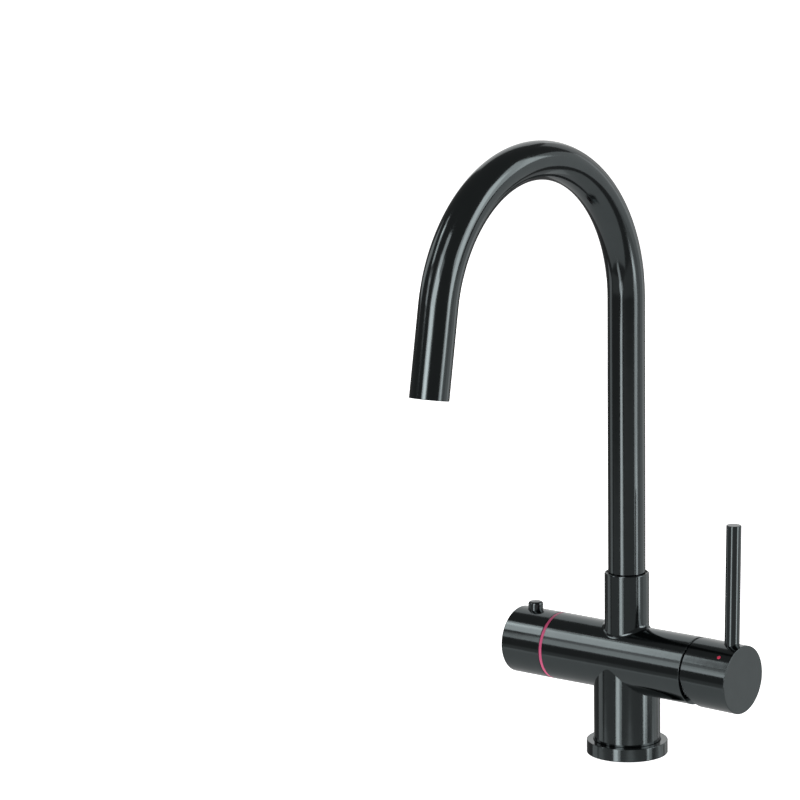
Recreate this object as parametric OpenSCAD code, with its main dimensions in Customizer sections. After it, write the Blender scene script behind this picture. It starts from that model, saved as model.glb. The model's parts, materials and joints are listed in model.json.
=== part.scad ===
// Boiling water tap: a mixer handle on the right, a boiling water knob on the left and a
// swivelling swan-neck spout. Millimetres, +Z up, the spout points to -Y. The origin is the
// centre of the base flange's underside, on the worktop.

/* [Base] */
// Diameter of the base flange
flange_d = 52; // [50:0.5:56]
// Height of the base flange
flange_h = 8.5; // [7:0.5:10]
// Diameter of the column
column_d = 42.5; // [42:0.1:42.8]

/* [Cross barrel] */
// Diameter of the cross barrel
barrel_d = 43; // [43:0.1:44]
// Height of the barrel's axis over the worktop
barrel_z = 62; // [60:0.5:66]
// Left end of the barrel, at the indicator ring
barrel_left = -52.4; // [-54:0.1:-52]
// Right end of the barrel, at the mixer handle
barrel_right = 54.7; // [54:0.1:55.5]
// Width of the indicator ring
ring_w = 2.2; // [1.6:0.1:2.4]

/* [Spout] */
// Diameter of the collar that carries the spout
collar_d = 28.4; // [28:0.1:30]
// Height of the collar's top over the worktop
collar_top = 118.3; // [118:0.1:122]
// Outside diameter of the spout tube
spout_d = 23.8; // [23.6:0.1:23.9]
// Wall of the spout tube
spout_wall = 1.5; // [1.2:0.1:1.6]
// Height at which the spout's bend starts
bend_z = 294.5; // [200:0.5:320]
// Radius of the bend at the tube's axis
bend_r = 94.1; // [80:0.1:100]
// Angle of the bend
bend_angle = 170; // [160:1:180]
// Straight length after the bend
tail_l = 54; // [40:0.2:70]

/* [Boiling water knob] */
// Diameter of the knob
knob_d = 43.4; // [43:0.1:44]
// Outer end of the knob
knob_left = -85.2; // [-88:0.1:-85]
// Place of the safety button along the barrel
button_x = -73.1; // [-74:0.1:-72.5]
// Diameter of the safety button
button_d = 9.2; // [9:0.1:9.6]
// Height of the button's top over the barrel's axis
button_top = 26.2; // [25:0.1:27]
// Travel of the button
button_travel = 2.5; // [1.5:0.1:2.5]

/* [Mixer handle] */
// Diameter of the handle
handle_d = 43.3; // [43:0.1:43.4]
// Edge of the handle's upper rim
handle_left = 55.8; // [55.6:0.1:57]
// Outer end of the handle
handle_right = 88.8; // [88:0.1:92]
// Slope of the lower half of the rim, which gives the handle room to tip
rim_slope = 17; // [16:0.5:18]
// Outward lean of the handle as the photo shows it
handle_lean = 0.8; // [0:0.1:1.5]
// Place of the lever along the barrel
lever_x = 80.1; // [79.5:0.1:82]
// Diameter of the lever
lever_d = 9.4; // [9:0.1:10]
// Height of the lever's top over the barrel's axis
lever_top = 97.5; // [80:0.1:110]
// Angle of the hot and cold markers from the lever
marker_angle = 42; // [35:1:60]

/* [Inlets] */
// Core diameter of the M8 stud socket
stud_core_d = 6.8; // [6.6:0.1:6.9]
// Core diameter of the M10x1 hose sockets
hose_core_d = 9; // [8.9:0.1:9.1]
// Depth of the stud socket
stud_depth = 14; // [10:1:15]
// Depth of the hose sockets
hose_depth = 11; // [9:1:12]

/* [Hidden] */
$fn = 96;

// Finishes
coated = "#2b3031";
brass = "#b9975b";
rubber = "#1c1c1c";
ceramic = "#e8e6df";
plastic = "#3a3d40";
white_plastic = "#d9dcdc";
steel = "#9aa0a3";
ring_red = "#d2315f";

// Outer radii
flange_r = flange_d / 2;
column_r = column_d / 2;
barrel_r = barrel_d / 2;
collar_r = collar_d / 2;
knob_r = knob_d / 2;
handle_r = handle_d / 2;
lever_r = lever_d / 2;
button_r = button_d / 2;
edge = 0.4;
eps = 0.1;

// Foot: the column stands on the flange's lip, the manifold plugs the column
lip_h = 3;
lip_r = 17.5;
socket_r = 17;
socket_top = 21.5;
manifold_top = 20;
stud_place = [0, 0];
hot_place = [9, -6];
cold_place = [9, 6];
boil_place = [-10.5, -4.5];
screw_places = [[13, 0], [-3, 12.6], [-3, -12.6]];
screw_seat = 3.2;
// Brazed joint between the column's saddle and the barrel
braze_gap = 0.03;

// Waterways
feed_r = 2.6;
boil_r = 2;
feed_z = barrel_z + 5.8;
mixed_z = barrel_z - 5.5;
boil_z = barrel_z - 4.5;
mixed_x = 8.4;
inlets = [[hot_place, feed_r], [cold_place, feed_r], [boil_place, boil_r]];
mixer_ports = [[hot_place[1], feed_z], [cold_place[1], feed_z], [0, mixed_z]];

// Spout bearing in the collar
tube_r = spout_d / 2;
tube_bore_r = tube_r - spout_wall;
tube_foot = 99.3;
seal_bore_r = 11;
tube_way_r = 12.3;
mouth_r = 13.1;
chamber_z = 72.5;
well_z = 55;
lower_ring_z = 96;
upper_ring_z = 112;
connector_r = 10.93;
connector_z = 74;
stop_z = 92;
stop_swing = 75;
inner_tube_r = 3;
inner_tube_foot = 60.5;
// The tail laps the bend's end and is a hair fuller, so that the two are one solid
tail_lap = 0.4;
tail_step = 0.02;

// Mixer cartridge along the barrel
seat_x = 14;
disc_x = 20;
carrier_x = 26.4;
turret_x = 33.3;
neck_x = 43;
pivot_x = 45;
cartridge_r = 17.5;
key_y = 11;
key_z = barrel_z - 4;
neck_bore_r = 9;
nut_r = 18.55;
cover_r = 19.5;
cover_wall = 1.5;
cover_mouth_r = 12;
disc_rest = -2.1;
disc_r = 12.5;
disc_port_r = 2.4;
stem_half = 4;
ball_x = 30.3;
ball_r = 3;
arm_w = 3.8;
arm_h = 3.2;
hub_r = 8;
handle_wall = 2.7;
handle_floor = 72;

// Boiling valve along the barrel
valve_seat_x = -18;
valve_r = 10.4;
hex_x = -44.05;
valve_neck_x = -49;
valve_end_x = -57;
spindle_r = 3.98;
cavity_r = 17;
knob_rim = barrel_left - ring_w - 0.2;
knob_wall = 3;
knob_floor = -81.7;
knob_hub_r = 6;
guide_foot = 11.6;
retainer_top = 12.8;
spring_pressed = 1.7;
flange_foot = retainer_top + spring_pressed + button_travel;
flange_top = flange_foot + 1.3;
pin_r = 2;
pin_foot = 9;
spring_r = 4.4;
wire_r = 0.3;

// --- Shared shapes ---------------------------------------------------------------------

// Solid cylinder along the barrel's axis
module bar(x0, x1, r) {
    translate([x0, 0, barrel_z])
        rotate([0, 90, 0])
            cylinder(r = r, h = x1 - x0);
}

// Ring along the barrel's axis
module collar_on_bar(x0, x1, r_out, r_in) {
    difference() {
        bar(x0, x1, r_out);
        bar(x0 - eps, x1 + eps, r_in);
    }
}

// Body of revolution about the barrel's axis, from points [radius, x]
module turned_on_bar(points) {
    translate([0, 0, barrel_z])
        rotate([0, 90, 0])
            rotate_extrude()
                polygon(points);
}

// Hole or rod along X at a place away from the barrel's axis
module rod_x(x0, x1, y, z, r) {
    translate([x0, y, z])
        rotate([0, 90, 0])
            cylinder(r = r, h = x1 - x0);
}

// Hole or rod along Z
module rod_z(place, z0, z1, r) {
    translate([place[0], place[1], z0])
        cylinder(r = r, h = z1 - z0);
}

// Ring about the column's axis
module ring_z(z0, z1, r_out, r_in) {
    difference() {
        rod_z([0, 0], z0, z1, r_out);
        rod_z([0, 0], z0 - eps, z1 + eps, r_in);
    }
}

// Ring seal of round section, its hole along Z
module seal_ring(middle_r, section_r) {
    rotate_extrude()
        translate([middle_r, 0])
            circle(r = section_r, $fn = 32);
}

// Places its children at the spout's end, their +Z along the outflow
module at_outlet() {
    translate([0, -bend_r, bend_z])
        rotate([bend_angle, 0, 0])
            translate([0, bend_r, tail_l])
                children();
}

// Places its children on the mixer handle as it leans at rest
module leaned() {
    translate([pivot_x, 0, barrel_z])
        rotate([0, handle_lean, 0])
            translate([-pivot_x, 0, -barrel_z])
                children();
}

// Tube along the spout's axis, from a foot height to a distance before the outlet
module spout_path(r_out, r_in, foot, short_of_end) {
    ring_z(foot, bend_z, r_out, r_in);
    translate([0, -bend_r, bend_z])
        rotate([90, 0, 90])
            rotate_extrude(angle = bend_angle)
                translate([bend_r, 0])
                    difference() {
                        circle(r = r_out);
                        circle(r = r_in);
                    }
    at_outlet()
        translate([0, 0, -tail_l - tail_lap])
            difference() {
                cylinder(r = r_out + tail_step, h = tail_l + tail_lap - short_of_end);
                translate([0, 0, -eps])
                    cylinder(r = r_in - tail_step, h = tail_l + tail_lap - short_of_end + 2 * eps);
            }
}

// --- Foot ------------------------------------------------------------------------------

module base_flange() {
    color(coated)
        difference() {
            rotate_extrude()
                polygon([
                    [lip_r, 0], [flange_r - edge, 0], [flange_r, edge],
                    [flange_r, flange_h - edge], [flange_r - edge, flange_h],
                    [column_r + 0.7, flange_h], [column_r + 0.05, flange_h - 0.65],
                    [column_r + 0.05, lip_h], [lip_r, lip_h],
                ]);
            ring_z(-eps, 1.6, 23.5, 20);
        }
}

module base_seal() {
    color(rubber)
        ring_z(0, 1.6, 23.45, 20.05);
}

module inlet_manifold() {
    color(brass)
        difference() {
            rod_z([0, 0], 0, manifold_top, socket_r - 0.1);
            rod_z(stud_place, -eps, stud_depth, stud_core_d / 2);
            for (inlet = inlets) {
                rod_z(inlet[0], -eps, hose_depth, hose_core_d / 2);
                rod_z(inlet[0], 0, manifold_top + eps, inlet[1]);
            }
            for (place = screw_places) {
                rod_z(place, -eps, manifold_top + eps, 1.7);
                rod_z(place, -eps, screw_seat, 2.9);
            }
        }
}

module manifold_gasket() {
    color(rubber)
        difference() {
            rod_z([0, 0], manifold_top, socket_top, socket_r - 0.2);
            for (inlet = inlets)
                rod_z(inlet[0], manifold_top - eps, socket_top + eps, inlet[1]);
            for (place = screw_places)
                rod_z(place, manifold_top - eps, socket_top + eps, 1.8);
        }
}

module manifold_screws() {
    color(steel)
        for (place = screw_places)
            difference() {
                union() {
                    rod_z(place, 0.4, screw_seat, 2.75);
                    rod_z(place, screw_seat, socket_top + 6, 1.45);
                }
                translate([place[0], place[1], 0])
                    cylinder(r = 1.4, h = 2, $fn = 6);
            }
}

// The column's top is a saddle that fits the barrel
module column() {
    color(coated)
        difference() {
            rod_z([0, 0], lip_h, barrel_z, column_r);
            bar(-column_r - 1, column_r + 1, barrel_r + braze_gap);
            rod_z([0, 0], lip_h - eps, socket_top, socket_r);
            for (place = screw_places)
                rod_z(place, socket_top - eps, socket_top + 7, 1.5);
            waterways();
        }
}

// --- Barrel casting --------------------------------------------------------------------

// Outside of the casting: barrel, seat of the indicator ring and collar
module casting_outside() {
    turned_on_bar([
        [0, barrel_left], [knob_r, barrel_left], [knob_r, barrel_left + 3.2],
        [barrel_r, barrel_left + 3.2], [barrel_r, barrel_right - edge],
        [barrel_r - edge, barrel_right], [0, barrel_right],
    ]);
    bar(barrel_left - ring_w, barrel_left, 19.6);
    rotate_extrude()
        polygon([
            [0, barrel_z], [collar_r, barrel_z], [collar_r, collar_top - 0.8],
            [collar_r - 0.25, collar_top - 0.25], [collar_r - 0.8, collar_top],
            [0, collar_top],
        ]);
}

// Bores for the spout, its stop screw and the inner boiling water tube
module spout_bores() {
    rod_z([0, 0], chamber_z, lower_ring_z, seal_bore_r);
    rod_z([0, 0], lower_ring_z, upper_ring_z, tube_way_r);
    rod_z([0, 0], upper_ring_z, collar_top + eps, mouth_r);
    rod_z([0, 0], well_z, chamber_z + eps, inner_tube_r + 0.15);
    rod_z([0, 0], chamber_z - 3.6, chamber_z + eps, 4.65);
    translate([0, seal_bore_r - 1, stop_z])
        rotate([-90, 0, 0])
            cylinder(r = 2.02, h = 6);
}

// Bores for the mixer cartridge, with its ports, and the boiling valve
module barrel_bores() {
    bar(seat_x, barrel_right + eps, cartridge_r + 0.1);
    bar(neck_x, barrel_right + eps, nut_r + 0.05);
    for (side = [-1, 1])
        rod_x(seat_x - 2.2, seat_x + eps, key_y * side, key_z, 2.05);
    bar(hex_x + 0.05, valve_seat_x, valve_r + 0.1);
    bar(barrel_left - ring_w - eps, hex_x + 0.05, cavity_r);
}

// Passages between the manifold, the two valves and the spout
module waterways() {
    for (place = [hot_place, cold_place]) {
        rod_z(place, socket_top - eps, feed_z, feed_r);
        rod_x(place[0], seat_x + eps, place[1], feed_z, feed_r);
    }
    rod_x(mixed_x, seat_x + eps, 0, mixed_z, feed_r);
    rod_z([mixed_x, 0], mixed_z, chamber_z + eps, feed_r);
    rod_z(boil_place, socket_top - eps, boil_z, boil_r);
    rod_x(valve_seat_x - eps, boil_place[0], boil_place[1], boil_z, boil_r);
    translate([valve_seat_x - eps, -boil_place[1], boil_z])
        rotate([0, 90, atan2(boil_place[1], -valve_seat_x)])
            cylinder(r = boil_r, h = -valve_seat_x);
}

module barrel_casting() {
    color(coated)
        difference() {
            casting_outside();
            spout_bores();
            barrel_bores();
            waterways();
        }
}

// --- Spout bearing parts that stay with the casting ------------------------------------

module upper_slide_ring() {
    color(plastic)
        ring_z(upper_ring_z, collar_top - 0.7, mouth_r - 0.05, tube_r + 0.09);
}

module lower_slide_ring() {
    color(white_plastic)
        ring_z(lower_ring_z, tube_foot - 0.15, tube_way_r - 0.05, seal_bore_r + 0.02);
}

module spout_stop_screw() {
    color(steel)
        translate([0, 0, stop_z])
            rotate([-90, 0, 0])
                difference() {
                    union() {
                        translate([0, 0, 9.9])
                            cylinder(r = 1.2, h = 2);
                        translate([0, 0, 11.3])
                            cylinder(r = 1.98, h = 2.6);
                    }
                    translate([0, 0, 12.4])
                        cylinder(r = 1.1, h = 2, $fn = 6);
                }
}

module boiling_tube_seal() {
    color(rubber)
        translate([0, 0, chamber_z - 2.8])
            seal_ring(3.85, 0.75);
}

// --- Mixer cartridge -------------------------------------------------------------------

module mixer_base() {
    color(white_plastic)
        difference() {
            union() {
                bar(seat_x + 0.1, disc_x, cartridge_r - 0.2);
                for (side = [-1, 1])
                    rod_x(seat_x - 2, seat_x + 1, key_y * side, key_z, 2);
            }
            for (port = mixer_ports) {
                rod_x(seat_x, disc_x + eps, port[0], port[1], feed_r);
                rod_x(seat_x, seat_x + 2, port[0], port[1], feed_r + 1.8);
            }
        }
}

module mixer_port_seals() {
    color(rubber)
        for (port = mixer_ports)
            difference() {
                rod_x(seat_x, seat_x + 2, port[0], port[1], feed_r + 1.7);
                rod_x(seat_x - eps, seat_x + 2 + eps, port[0], port[1], feed_r);
            }
}

module mixer_housing() {
    color(white_plastic)
        difference() {
            union() {
                bar(disc_x, neck_x, cartridge_r);
                bar(neck_x, neck_x + 7.5, 13);
            }
            bar(disc_x - eps, neck_x - 2, 15.2);
            bar(neck_x - 3, neck_x + 8, neck_bore_r);
        }
}

module mixer_fixed_disc() {
    color(ceramic)
        difference() {
            bar(disc_x, disc_x + 3, 14.9);
            for (port = mixer_ports)
                rod_x(disc_x - eps, disc_x + 3 + eps, port[0], port[1], disc_port_r);
        }
}

module cartridge_nut() {
    color(brass)
        difference() {
            collar_on_bar(neck_x + 0.05, neck_x + 8, nut_r, 13.1);
            for (turn = [45, 135])
                translate([neck_x + 6.5, 0, barrel_z])
                    rotate([turn, 0, 0])
                        translate([0, -25, -2])
                            cube([3, 50, 4]);
        }
}

module cartridge_cover() {
    color(plastic)
        intersection() {
            translate([pivot_x, 0, barrel_z])
                difference() {
                    sphere(r = cover_r);
                    sphere(r = cover_r - cover_wall);
                    rotate([0, 90, 0])
                        cylinder(r = cover_mouth_r, h = 30);
                }
            bar(neck_x + 8.1, pivot_x + cover_r, cover_r);
        }
}

module mixer_turret() {
    color(white_plastic)
        difference() {
            union() {
                bar(turret_x + 0.3, neck_x - 2.2, 14.8);
                bar(neck_x - 3, neck_x + 7, neck_bore_r - 0.07);
            }
            translate([turret_x, -stem_half - 0.2, barrel_z - 6])
                cube([30, 2 * stem_half + 0.4, 12]);
            translate([pivot_x, 0, barrel_z])
                rotate([90, 0, 0])
                    cylinder(r = 1.5, h = 40, center = true);
        }
}

module mixer_pivot_pin() {
    color(steel)
        translate([pivot_x, 0, barrel_z])
            rotate([90, 0, 0])
                cylinder(r = 1.48, h = 16.6, center = true);
}

module disc_carrier() {
    color(white_plastic)
        translate([0, 0, disc_rest])
            difference() {
                bar(carrier_x, turret_x, disc_r);
                bar(carrier_x + 0.6, turret_x + eps, ball_r + 0.3);
            }
}

// The recess lies inside the inlets' inner edge at rest and reaches them as the disc rises
module mixer_moving_disc() {
    color(ceramic)
        difference() {
            translate([0, 0, disc_rest])
                bar(disc_x + 3.1, carrier_x, disc_r);
            bar(disc_x + 3, disc_x + 5, 5.7);
            translate([0, 0, -6])
                bar(disc_x + 3, disc_x + 5, 3.5);
        }
}

// --- Mixer handle ----------------------------------------------------------------------

module mixer_stem() {
    arm = [pivot_x - ball_x, -disc_rest];
    color(steel)
        leaned()
            difference() {
                union() {
                    translate([pivot_x, -stem_half, barrel_z - stem_half])
                        cube([30.5, 2 * stem_half, 2 * stem_half]);
                    translate([pivot_x, 0, barrel_z])
                        rotate([90, 0, 0])
                            cylinder(r = stem_half, h = 2 * stem_half, center = true);
                    translate([pivot_x, 0, barrel_z])
                        rotate([0, -atan2(arm[1], arm[0]) - handle_lean, 0])
                            translate([-arm[0], -arm_w / 2, -arm_h / 2])
                                cube([arm[0], arm_w, arm_h]);
                    translate([pivot_x, 0, barrel_z])
                        rotate([0, -handle_lean, 0])
                            translate([-arm[0], 0, -arm[1]])
                                sphere(r = ball_r);
                }
                translate([pivot_x, 0, barrel_z])
                    rotate([90, 0, 0])
                        cylinder(r = 1.53, h = 20, center = true);
            }
}

// Takes away the lower half of the handle's rim along a slope
module rim_cut() {
    deep = 30;
    translate([handle_left, 30, barrel_z])
        rotate([90, 0, 0])
            linear_extrude(height = 60)
                polygon([[-1, 0], [0, 0], [deep * tan(rim_slope), -deep], [-1, -deep]]);
}

// Pocket or plug of a colour marker on the handle's skin
module marker_plug(side, r, foot, top) {
    translate([lever_x, 0, barrel_z])
        rotate([side * marker_angle, 0, 0])
            translate([0, 0, foot])
                cylinder(r = r, h = top - foot);
}

module mixer_handle() {
    color(coated)
        leaned()
            difference() {
                turned_on_bar([
                    [0, handle_left], [handle_r - 0.2, handle_left],
                    [handle_r, handle_left + 0.2], [handle_r, handle_right - edge],
                    [handle_r - edge, handle_right], [0, handle_right],
                ]);
                difference() {
                    bar(handle_left - eps, handle_floor, handle_r - handle_wall);
                    bar(handle_left + 8.1, handle_floor + eps, hub_r);
                }
                translate([60, -stem_half - 0.05, barrel_z - stem_half - 0.05])
                    cube([16, 2 * stem_half + 0.1, 2 * stem_half + 0.1]);
                rim_cut();
                rod_z([lever_x, 0], barrel_z + 7.5, barrel_z + 30, 3);
                rod_z([lever_x, 0], barrel_z + 19, barrel_z + 30, lever_r + 0.05);
                rod_z([70, 0], barrel_z - 30, barrel_z, 2.5);
                for (side = [-1, 1])
                    marker_plug(side, 1.12, 20, 30);
            }
}

module mixer_lever() {
    color(coated)
        leaned()
            translate([lever_x, 0, barrel_z])
                rotate_extrude()
                    polygon([
                        [0, 8], [2.95, 8], [2.95, 19], [lever_r, 19],
                        [lever_r, lever_top - edge], [lever_r - edge, lever_top], [0, lever_top],
                    ]);
}

module handle_grub_screw() {
    color(steel)
        leaned()
            difference() {
                rod_z([70, 0], barrel_z - 10, barrel_z - stem_half - 0.05, 2.45);
                translate([70, 0, barrel_z - 10 - eps])
                    cylinder(r = 1.4, h = 2.5, $fn = 6);
            }
}

module hot_marker() {
    color("#d8204a")
        leaned()
            marker_plug(1, 1.1, 20.05, handle_r + 0.05);
}

module cold_marker() {
    color("#2f6fc4")
        leaned()
            marker_plug(-1, 1.1, 20.05, handle_r + 0.05);
}

// --- Boiling valve ---------------------------------------------------------------------

module boiling_valve_body() {
    color(brass)
        difference() {
            union() {
                bar(hex_x, valve_seat_x - 1, valve_r);
                translate([valve_neck_x, 0, barrel_z])
                    rotate([0, 90, 0])
                        cylinder(r = 14, h = hex_x - valve_neck_x, $fn = 6);
                bar(valve_end_x, valve_neck_x, 8.5);
            }
            bar(-27.1, valve_seat_x, 9.2);
            bar(valve_end_x - eps, -27, spindle_r + 0.07);
            translate([-30, 0, barrel_z])
                rotate([90, 0, 0])
                    cylinder(r = 1.6, h = 30, center = true);
        }
}

module boiling_seat_seal() {
    color(rubber)
        collar_on_bar(valve_seat_x - 1, valve_seat_x, 10.2, 9);
}

module boiling_fixed_disc() {
    color(ceramic)
        difference() {
            bar(valve_seat_x - 4, valve_seat_x - 1, 9.1);
            for (side = [-1, 1])
                rod_x(-23, -18, boil_place[1] * side, boil_z, boil_r);
        }
}

module stop_sleeve() {
    color(brass)
        difference() {
            collar_on_bar(-77.5, valve_neck_x - 0.1, 10.6, 8.55);
            translate([button_x + 2.5, 0, barrel_z])
                rotate([108, 0, 0])
                    rotate([0, -90, 0])
                        rotate_extrude(angle = 126)
                            translate([8, 0])
                                square([4, 5]);
        }
}

module indicator_ring() {
    color(ring_red)
        turned_on_bar([
            [19.65, barrel_left - ring_w + 0.02], [knob_r - 0.35, barrel_left - ring_w + 0.02],
            [knob_r, barrel_left - ring_w + 0.5], [knob_r, barrel_left - 0.5],
            [knob_r - 0.35, barrel_left - 0.02], [19.65, barrel_left - 0.02],
        ]);
}

// The quarter-round recess joins the two ports once the disc has turned 90 degrees
module boiling_moving_disc() {
    color(ceramic)
        difference() {
            bar(valve_seat_x - 7, valve_seat_x - 4.1, 8.9);
            translate([valve_seat_x - 5.6, 0, barrel_z])
                rotate([0, 90, 0])
                    rotate([0, 0, 225])
                        rotate_extrude(angle = 90)
                            translate([4.6, 0])
                                square([3.5, 2]);
        }
}

module boiling_spindle() {
    color(brass)
        difference() {
            union() {
                bar(-26.8, valve_seat_x - 7.05, 8.7);
                bar(-80.8, -26.8, spindle_r);
            }
            for (x = [-36, -42])
                collar_on_bar(x - 0.6, x + 0.6, spindle_r + 1, 2.95);
            collar_on_bar(-57.9, -57.1, spindle_r + 1, 3.3);
        }
}

module spindle_o_rings() {
    color(rubber)
        for (x = [-36, -42])
            translate([x, 0, barrel_z])
                rotate([0, 90, 0])
                    seal_ring(3.49, 0.52);
}

module spindle_clip() {
    color(steel)
        difference() {
            collar_on_bar(-57.8, -57.2, 5.6, 3.32);
            translate([-58, -2, barrel_z - 8])
                cube([1, 4, 8]);
        }
}

// --- Boiling water knob ----------------------------------------------------------------

module boiling_knob() {
    color(coated)
        difference() {
            union() {
                difference() {
                    turned_on_bar([
                        [0, knob_left], [knob_r - 0.8, knob_left],
                        [knob_r - 0.25, knob_left + 0.25], [knob_r, knob_left + 0.8],
                        [knob_r, knob_rim - 0.2], [knob_r - 0.2, knob_rim], [0, knob_rim],
                    ]);
                    bar(knob_floor, knob_rim + eps, knob_r - knob_wall);
                }
                bar(knob_floor - eps, -58.5, knob_hub_r);
                rod_z([button_x, 0], barrel_z + guide_foot, barrel_z + 19.5, 7.4);
            }
            bar(-81, -58, spindle_r + 0.05);
            rod_z([button_x, 0], barrel_z + guide_foot, barrel_z + 30, button_r + 0.05);
            rod_z([button_x, 0], barrel_z + guide_foot - eps, barrel_z + flange_top + 0.1, 5.9);
            rod_z([-79.8, 0], barrel_z - 30, barrel_z, 1.55);
        }
}

module knob_grub_screw() {
    color(steel)
        difference() {
            rod_z([-79.8, 0], barrel_z - 8, barrel_z - spindle_r - 0.02, 1.5);
            translate([-79.8, 0, barrel_z - 8 - eps])
                cylinder(r = 0.8, h = 1.6, $fn = 6);
        }
}

module button_retainer() {
    color(brass)
        translate([button_x, 0, barrel_z])
            ring_z(guide_foot, retainer_top, 5.88, pin_r + 0.2);
}

// Points of the spring's section number i of n, as a closed square tube along a helix
function spring_ring(i, n, turns, foot, height) = [
    for (k = [0:5])
        let (
            turn = 360 * turns * i / n,
            r = spring_r + wire_r * cos(60 * k),
            z = foot + wire_r + (height - 2 * wire_r) * i / n + wire_r * sin(60 * k)
        )
        [r * cos(turn), r * sin(turn), z]
];

module button_spring() {
    steps = 60;
    points = [
        for (i = [0:steps])
            for (p = spring_ring(i, steps, 2.5, retainer_top, flange_foot - retainer_top))
                p
    ];
    sides = [
        for (i = [0:steps - 1])
            for (k = [0:5])
                let (j = (k + 1) % 6)
                [6 * i + k, 6 * i + j, 6 * (i + 1) + j, 6 * (i + 1) + k]
    ];
    ends = [[5, 4, 3, 2, 1, 0], [for (k = [0:5]) 6 * steps + k]];
    color(steel)
        translate([button_x, 0, barrel_z])
            polyhedron(points = points, faces = concat(sides, ends));
}

module safety_button() {
    color(coated)
        translate([button_x, 0, barrel_z])
            rotate_extrude()
                polygon([
                    [0, pin_foot], [pin_r, pin_foot], [pin_r, flange_foot],
                    [5.6, flange_foot], [5.6, flange_top], [button_r, flange_top],
                    [button_r, button_top - 1.5],
                    for (a = [15:15:75])
                        [button_r - 1.5 + 1.5 * cos(a), button_top - 1.5 + 1.5 * sin(a)],
                    [button_r - 1.5, button_top], [0, button_top],
                ]);
}

// --- Spout -----------------------------------------------------------------------------

module spout_tube() {
    color(coated)
        spout_path(tube_r, tube_bore_r, tube_foot, 0);
}

module spout_connector() {
    color(brass)
        difference() {
            union() {
                rod_z([0, 0], connector_z, tube_foot, connector_r);
                rod_z([0, 0], tube_foot, tube_foot + 14, tube_bore_r - 0.02);
            }
            rod_z([0, 0], connector_z - eps, tube_foot + 15, 7.8);
            for (z = [79, 86])
                ring_z(z - 1.2, z + 1.2, connector_r + 1, 9.2);
            translate([0, 0, stop_z - 1.5])
                rotate([0, 0, 90 - stop_swing - 9])
                    rotate_extrude(angle = 2 * (stop_swing + 9))
                        translate([9.5, 0])
                            square([3, 3]);
        }
}

module spout_o_rings() {
    color(rubber)
        for (z = [79, 86])
            translate([0, 0, z])
                seal_ring(10.08, 0.82);
}

module boiling_tube() {
    color(steel)
        spout_path(inner_tube_r, inner_tube_r - 0.7, inner_tube_foot, 12);
}

module outlet_housing() {
    color(brass)
        at_outlet()
            difference() {
                translate([0, 0, -12])
                    cylinder(r = tube_bore_r - 0.02, h = 11);
                translate([0, 0, -10])
                    cylinder(r = 9, h = 12);
                translate([0, 0, -13])
                    cylinder(r = 7.4, h = 12);
            }
}

module outlet_seal() {
    color(rubber)
        at_outlet()
            translate([0, 0, -10])
                difference() {
                    cylinder(r = 8.95, h = 1.4);
                    translate([0, 0, -eps])
                        cylinder(r = 7.4, h = 2);
                }
}

module flow_straightener() {
    color(white_plastic)
        at_outlet()
            translate([0, 0, -8.6])
                difference() {
                    cylinder(r = 8.92, h = 6.8);
                    translate([0, 0, -eps])
                        cylinder(r = 2, h = 8);
                    for (ring = [[4.2, 10], [6.8, 16]])
                        for (i = [1:ring[1]])
                            rotate([0, 0, 360 * i / ring[1]])
                                translate([ring[0], 0, -eps])
                                    cylinder(r = 0.85, h = 8, $fn = 24);
                }
}

// --- Assembly --------------------------------------------------------------------------

base_flange();
base_seal();
column();
inlet_manifold();
manifold_gasket();
manifold_screws();
barrel_casting();
upper_slide_ring();
lower_slide_ring();
spout_stop_screw();
boiling_tube_seal();
mixer_base();
mixer_port_seals();
mixer_housing();
mixer_fixed_disc();
cartridge_nut();
cartridge_cover();
boiling_valve_body();
boiling_seat_seal();
boiling_fixed_disc();
stop_sleeve();
indicator_ring();
spout_tube();
spout_connector();
spout_o_rings();
boiling_tube();
outlet_housing();
outlet_seal();
flow_straightener();
mixer_turret();
mixer_pivot_pin();
disc_carrier();
mixer_moving_disc();
mixer_stem();
mixer_handle();
mixer_lever();
handle_grub_screw();
hot_marker();
cold_marker();
boiling_knob();
boiling_spindle();
boiling_moving_disc();
spindle_o_rings();
spindle_clip();
knob_grub_screw();
button_retainer();
button_spring();
safety_button();
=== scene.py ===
"""Looks of a boiling water tap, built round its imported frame.

The tap has a flange and a column on the worktop, a cross barrel with a collar, a swan-neck spout
that swivels in the collar, a mixer handle with a rod lever on the right and a boiling water knob
with a safety button on the left. Lengths are in millimetres until a surface becomes a mesh.
"""

import json
import logging
import math
from dataclasses import dataclass, field, replace
from enum import Enum
from typing import Any, ClassVar, Sequence

import bpy
import numpy as np
from mathutils import Matrix, Vector


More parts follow.
